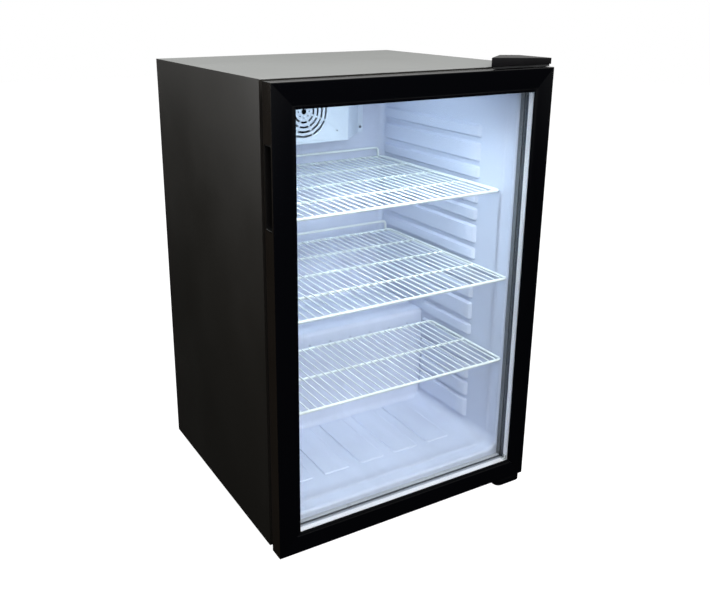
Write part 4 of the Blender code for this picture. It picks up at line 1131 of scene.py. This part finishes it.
def make_shelf(node, body, bays, backstop):
    """A welded wire shelf of round wires: a frame, cross bars and bent thin wires."""
    low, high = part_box(node)
    weld_z = high.z - 2 * THIN_WIRE - FRAME_WIRE
    xs = (low.x + FRAME_WIRE, high.x - FRAME_WIRE)
    ys = (low.y + FRAME_WIRE, high.y - FRAME_WIRE)
    bm = bmesh.new()
    path = [(x, y, weld_z + 0.0008) for x, y in rounded(xs, ys, SHELF_CORNER, 6)]
    wire(bm, path, FRAME_WIRE, True, 12)
    for i in range(1, bays):
        y = low.y + (high.y - low.y) * i / bays
        bar = [(x, y, weld_z + 0.0004) for x in xs]
        wire(bm, bar, FRAME_WIRE * 0.92, False, 12)
    pitch = 2 * xs[1] / (WIRE_COUNT + 1)
    top = high.z - THIN_WIRE
    # Each thin wire turns down over the frame at both ends
    bend = ((0.0002, 0.0028), (0.0003, 0.0012), (0.0012, 0.0003), (0.0030, 0.0))
    for i in range(1, WIRE_COUNT + 1):
        x = -xs[1] + i * pitch
        run = [(x, ys[0] + inset, top - drop) for inset, drop in bend]
        run += [(x, ys[1] - inset, top - drop) for inset, drop in reversed(bend)]
        wire(bm, run, THIN_WIRE, False, 8)
    settle(node + "_wires", bm, "wire", body, node, smooth=50.0)
    if backstop:
        make_backstop(node, body)


def make_backstop(node, body):
    """The raised wire along the back of a shelf."""
    low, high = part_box(node + "_backstop")
    y = high.y - FRAME_WIRE
    left, right = low.x + FRAME_WIRE, high.x - FRAME_WIRE
    top = high.z - FRAME_WIRE
    base, bend = low.z - 0.0030, top - SHELF_CORNER
    outline = [(left, base), (left, bend - 0.002)]
    outline += arc(left + SHELF_CORNER, bend, SHELF_CORNER, 180, 90, 6)
    outline += arc(right - SHELF_CORNER, bend, SHELF_CORNER, 90, 0, 6)
    outline += [(right, bend - 0.002), (right, base)]
    bm = bmesh.new()
    wire(bm, [(x, y, z) for x, z in outline], FRAME_WIRE, False, 12)
    stop = node + "_backstop"
    settle(node + "_rail", bm, "wire", body, stop, smooth=50.0)


# ---------------------------------------------------------------------------------------------
# Stage, light and camera
# ---------------------------------------------------------------------------------------------


def aim(obj, target):
    obj.rotation_euler = (Vector(target) - obj.location).to_track_quat("-Z", "Y").to_euler()


def add_area(name, place, target, size, power, colour, glossy=True):
    """A rectangular lamp that lights the object without being seen itself."""
    light = bpy.data.lights.new(name, "AREA")
    light.shape = "RECTANGLE"
    light.size, light.size_y = size
    light.energy = power
    light.color = colour
    obj = bpy.data.objects.new(name, light)
    obj.location = place
    obj.visible_camera = False
    obj.visible_glossy = glossy
    bpy.context.scene.collection.objects.link(obj)
    aim(obj, target)
    return obj


STAGE_RADIUS = 8.0


def make_stage():
    """A pale floor that lights nothing itself."""
    bm = bmesh.new()
    outline = arc(0.0, 0.0, STAGE_RADIUS, 0, 360, 48)[:-1]
    bm.faces.new([bm.verts.new((x, y, 0.0)) for x, y in outline])
    mesh = bpy.data.meshes.new("floor")
    bm.to_mesh(mesh)
    bm.free()
    floor = bpy.data.objects.new("floor", mesh)
    bpy.context.scene.collection.objects.link(floor)
    material = bpy.data.materials.new("floor_pale")
    material.use_nodes = True
    shader = material.node_tree.nodes["Principled BSDF"]
    shader.inputs["Base Color"].default_value = (0.20, 0.20, 0.20, 1.0)
    shader.inputs["Roughness"].default_value = 0.9
    shader.inputs["Specular IOR Level"].default_value = 0.0
    shader.inputs["Emission Color"].default_value = (1.0, 1.0, 1.0, 1.0)
    shader.inputs["Emission Strength"].default_value = 0.97
    mesh.materials.append(material)
    floor.visible_glossy = False
    floor.visible_diffuse = False


def make_world():
    """Bright above and behind, dark towards the floor; the camera sees plain white."""
    world = bpy.data.worlds.new("studio")
    bpy.context.scene.world = world
    world.use_nodes = True
    graph = Graph(world.node_tree)
    graph.tree.nodes.clear()
    ease = {"interpolation_type": "SMOOTHSTEP"}
    generated = graph.node("ShaderNodeTexCoord").outputs["Generated"]
    split = graph.node("ShaderNodeSeparateXYZ", {0: generated})
    rise = graph.ranged(split.outputs["Z"], 0.010, 0.95, (-0.15, 0.55), **ease)
    depth = graph.ranged(split.outputs["Y"], 0.30, 1.0, (-0.8, 0.6), **ease)
    product = graph.node("ShaderNodeMath", {0: rise, 1: depth}, operation="MULTIPLY")
    sky = {"Color": (1.0, 1.0, 0.98, 1.0), "Strength": product.outputs[0]}
    glow = graph.node("ShaderNodeBackground", sky)
    plain = graph.node("ShaderNodeBackground", {"Color": (1.0, 1.0, 1.0, 1.0)})
    camera_ray = graph.node("ShaderNodeLightPath").outputs["Is Camera Ray"]
    mixed = {0: camera_ray, 1: glow.outputs[0], 2: plain.outputs[0]}
    mix = graph.node("ShaderNodeMixShader", mixed)
    graph.node("ShaderNodeOutputWorld", {"Surface": mix.outputs[0]})


LAMP_COUNT = 10
LAMP_SPAN = 0.22


LAMP_POWER = 0.90
LAMP_COLOUR = (0.77, 0.90, 1.0)
GLOW_POWER = 0.53
GLOW_COLOUR = (0.74, 0.87, 1.0)
WHITE = (1.0, 1.0, 1.0)
# Name, place, target, size, power, colour, whether it shows in reflections
SOFTBOXES = (
    ("softbox_top", (-0.6, 0.9, 2.2), (0.0, 0.1, 0.6), (1.6, 1.6), 14.0, WHITE, True),
    ("softbox_left", (-2.2, 0.9, 1.5), (-0.2, 0.0, 0.5), (1.2, 1.6), 14.0, WHITE, True),
    (
        "softbox_front",
        (-0.35, -2.0, 1.0),
        (0.0, 0.0, 0.40),
        (2.0, 1.4),
        42.0,
        (1.0, 0.96, 1.0),
        False,
    ),
    (
        "softbox_high",
        (-0.35, -1.5, 2.1),
        (0.0, 0.05, 0.15),
        (1.3, 1.1),
        62.0,
        (0.98, 0.96, 1.0),
        False,
    ),
)


def make_lights():
    """The cabinet's own light bar, the glow that it gives, and four soft studio lamps."""
    low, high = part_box("light_lens")
    y, z = (low.y + high.y) / 2, low.z - 0.0015
    for i in range(LAMP_COUNT):
        x = (i - (LAMP_COUNT - 1) / 2) * LAMP_SPAN / (LAMP_COUNT - 1)
        place, target = (x, y, z), (x, y + 0.12, 0.0)
        power = LAMP_POWER / LAMP_COUNT
        name = f"light_bar_{i + 1}"
        lamp = add_area(name, place, target, (0.012, 0.006), power, LAMP_COLOUR, False)
        lamp.data.spread = math.radians(140)
    y = BODY_FRONT + 0.19
    place, target = (0.0, y, z), (0.0, y, 0.0)
    add_area("ceiling_glow", place, target, (0.40, 0.26), GLOW_POWER, GLOW_COLOUR, False)
    for entry in SOFTBOXES:
        add_area(*entry)


def make_camera():
    camera = bpy.data.cameras.new("camera")
    camera.sensor_width = 36.0
    camera.lens = 36.0 * 817.3 / 710
    camera.shift_x, camera.shift_y = 0.0389, -0.0748
    obj = bpy.data.objects.new("camera", camera)
    obj.location = (-0.7253, -1.2215, 0.8754)
    obj.rotation_euler = (math.radians(72.57), 0.0, math.radians(-29.69))
    bpy.context.scene.collection.objects.link(obj)
    bpy.context.scene.camera = obj


make_camera()
dress_nodes()
make_tub()
make_step()
make_step_details()
make_foam()
make_rim()
make_shell()
make_fan_cover()
make_knob()
make_rear_details()
make_feet()
make_rails()
make_cup()
make_spacer()
make_gasket()
make_hinges()
make_shelf("shelf_upper", "upper_shelf", 4, True)
make_shelf("shelf_middle", "middle_shelf", 4, True)
make_shelf("shelf_lower", "lower_shelf", 2, False)
make_stage()
make_world()
make_lights()
bpy.context.scene.view_settings.view_transform = "Standard"
